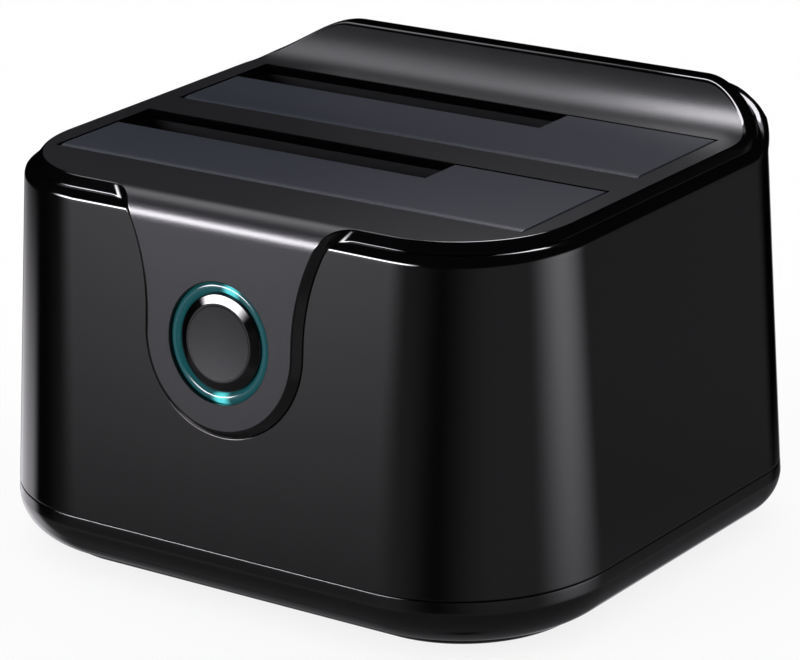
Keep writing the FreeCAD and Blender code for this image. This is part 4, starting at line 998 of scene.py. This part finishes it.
def panelled_tent(name):
    """Black cloth with soft-edged bright panels, each a product of three smooth steps over the
    bearing and the height, in degrees, of the place as seen from the middle of the tent."""
    material, tree, light = lamp_cloth(name, 1.0)
    place = add_node(tree, "ShaderNodeTexCoord").outputs["Object"]
    ray = add_node(tree, "ShaderNodeVectorMath", [(0, place), (1, tent_centre)], operation="SUBTRACT")
    parted = add_node(tree, "ShaderNodeSeparateXYZ", [("Vector", ray.outputs["Vector"])])
    turn = add_node(tree, "ShaderNodeMath", [(0, parted.outputs["Y"]), (1, parted.outputs["X"])],
                    operation="ARCTAN2")
    bearing = add_node(tree, "ShaderNodeMath", [(0, turn.outputs[0])], operation="DEGREES").outputs[0]
    share = add_node(tree, "ShaderNodeMath", [(0, parted.outputs["Z"]), (1, tent_radius)],
                     operation="DIVIDE")
    rise = add_node(tree, "ShaderNodeMath", [(0, share.outputs[0])], operation="ARCSINE")
    height = add_node(tree, "ShaderNodeMath", [(0, rise.outputs[0])], operation="DEGREES").outputs[0]
    total = 0.0
    for glow, middle, dark_width, bright_width, dark_low, bright_low, bright_high, dark_high in panels:
        aside = add_node(tree, "ShaderNodeMath", [(0, bearing), (1, middle)], operation="SUBTRACT")
        aside = add_node(tree, "ShaderNodeMath", [(0, aside.outputs[0]), (1, 180.0), (2, -180.0)],
                         operation="WRAP")
        aside = add_node(tree, "ShaderNodeMath", [(0, aside.outputs[0])], operation="ABSOLUTE")
        for value, dark, bright in ((aside.outputs[0], dark_width, bright_width),
                                    (height, dark_low, bright_low), (height, dark_high, bright_high)):
            fade = add_node(tree, "ShaderNodeMapRange",
                            [("Value", value), ("From Min", dark), ("From Max", bright)],
                            interpolation_type="SMOOTHSTEP")
            glow = add_node(tree, "ShaderNodeMath", [(0, fade.outputs["Result"]), (1, glow)],
                            operation="MULTIPLY").outputs[0]
        total = add_node(tree, "ShaderNodeMath", [(0, glow), (1, total)], operation="ADD").outputs[0]
    tree.links.new(total, light.inputs["Strength"])
    return material


tent_mesh = bpy.data.meshes.new("light_tent")
work = bmesh.new()
bmesh.ops.create_icosphere(work, subdivisions=5, radius=tent_radius,
                           matrix=Matrix.Translation(tent_centre))
work.to_mesh(tent_mesh)
work.free()
set_piece("light_tent", tent_mesh, panelled_tent("black tent with soft light panels"), True)

# Softbox and flags: a small softbox above the ramp gives it its pale band, and two
# black cloths keep the bar and the softbox off the ramp's top and the rear corner.
# They hang in the air, and only reflections see them.
card_y, card_z, card_half_x, card_half_y, card_strength = 0.065, 0.21, 0.045, 0.03, 15.0
card_corners = at_height(rectangle(0, card_y, card_half_x, card_half_y), card_z)
set_piece("light_card", flat_mesh("light_card", card_corners, [(0, 3, 2, 1)]),
          lamp_cloth("small softbox", card_strength)[0], True)
flag_top = 0.13
front_flag_y, front_flag_left, front_flag_right, front_flag_low = 0.02, -0.12, 0.07, 0.088
side_flag_x, side_flag_front, side_flag_rear, side_flag_low = 0.0535, 0.03, 0.075, 0.084
flag_corners = [(x, front_flag_y, z) for x, z in
                ((front_flag_left, front_flag_low), (front_flag_right, front_flag_low),
                 (front_flag_right, flag_top), (front_flag_left, flag_top))]
flag_corners += [(side_flag_x, y, z) for y, z in
                 ((side_flag_front, side_flag_low), (side_flag_rear, side_flag_low),
                  (side_flag_rear, flag_top), (side_flag_front, flag_top))]
set_piece("black_flag", flat_mesh("black_flag", flag_corners, [(0, 1, 2, 3), (4, 5, 6, 7)]),
          new_material("black cloth", "000000", 0.5, Specular_IOR_Level=0.0)[0], True)

# Camera: a long lens in front, to the right and a little above, turned slightly
# round its own line of sight. It shows the front, the deck and the right wall.
camera_target = Vector((0.06343, -0.08147, 0.0745))
camera_distance = 0.64041
azimuth, elevation, roll = np.radians((36.43, 19.23, -1.79))
back = Vector((np.sin(azimuth) * np.cos(elevation), -np.cos(azimuth) * np.cos(elevation),
               np.sin(elevation)))
right = Vector((np.cos(azimuth), np.sin(azimuth), 0))
up = back.cross(right)
tilted_right = right * np.cos(roll) + up * np.sin(roll)
tilted_up = up * np.cos(roll) - right * np.sin(roll)
camera_data = bpy.data.cameras.new("camera")
camera_data.lens = 181.88
camera_data.sensor_width = 36
camera = bpy.data.objects.new("camera", camera_data)
bpy.context.scene.collection.objects.link(camera)
turn_matrix = Matrix((tilted_right, tilted_up, back)).transposed().to_4x4()
camera.matrix_world = Matrix.Translation(camera_target + back * camera_distance) @ turn_matrix
bpy.context.scene.camera = camera
bpy.context.scene.view_settings.view_transform = "Standard"
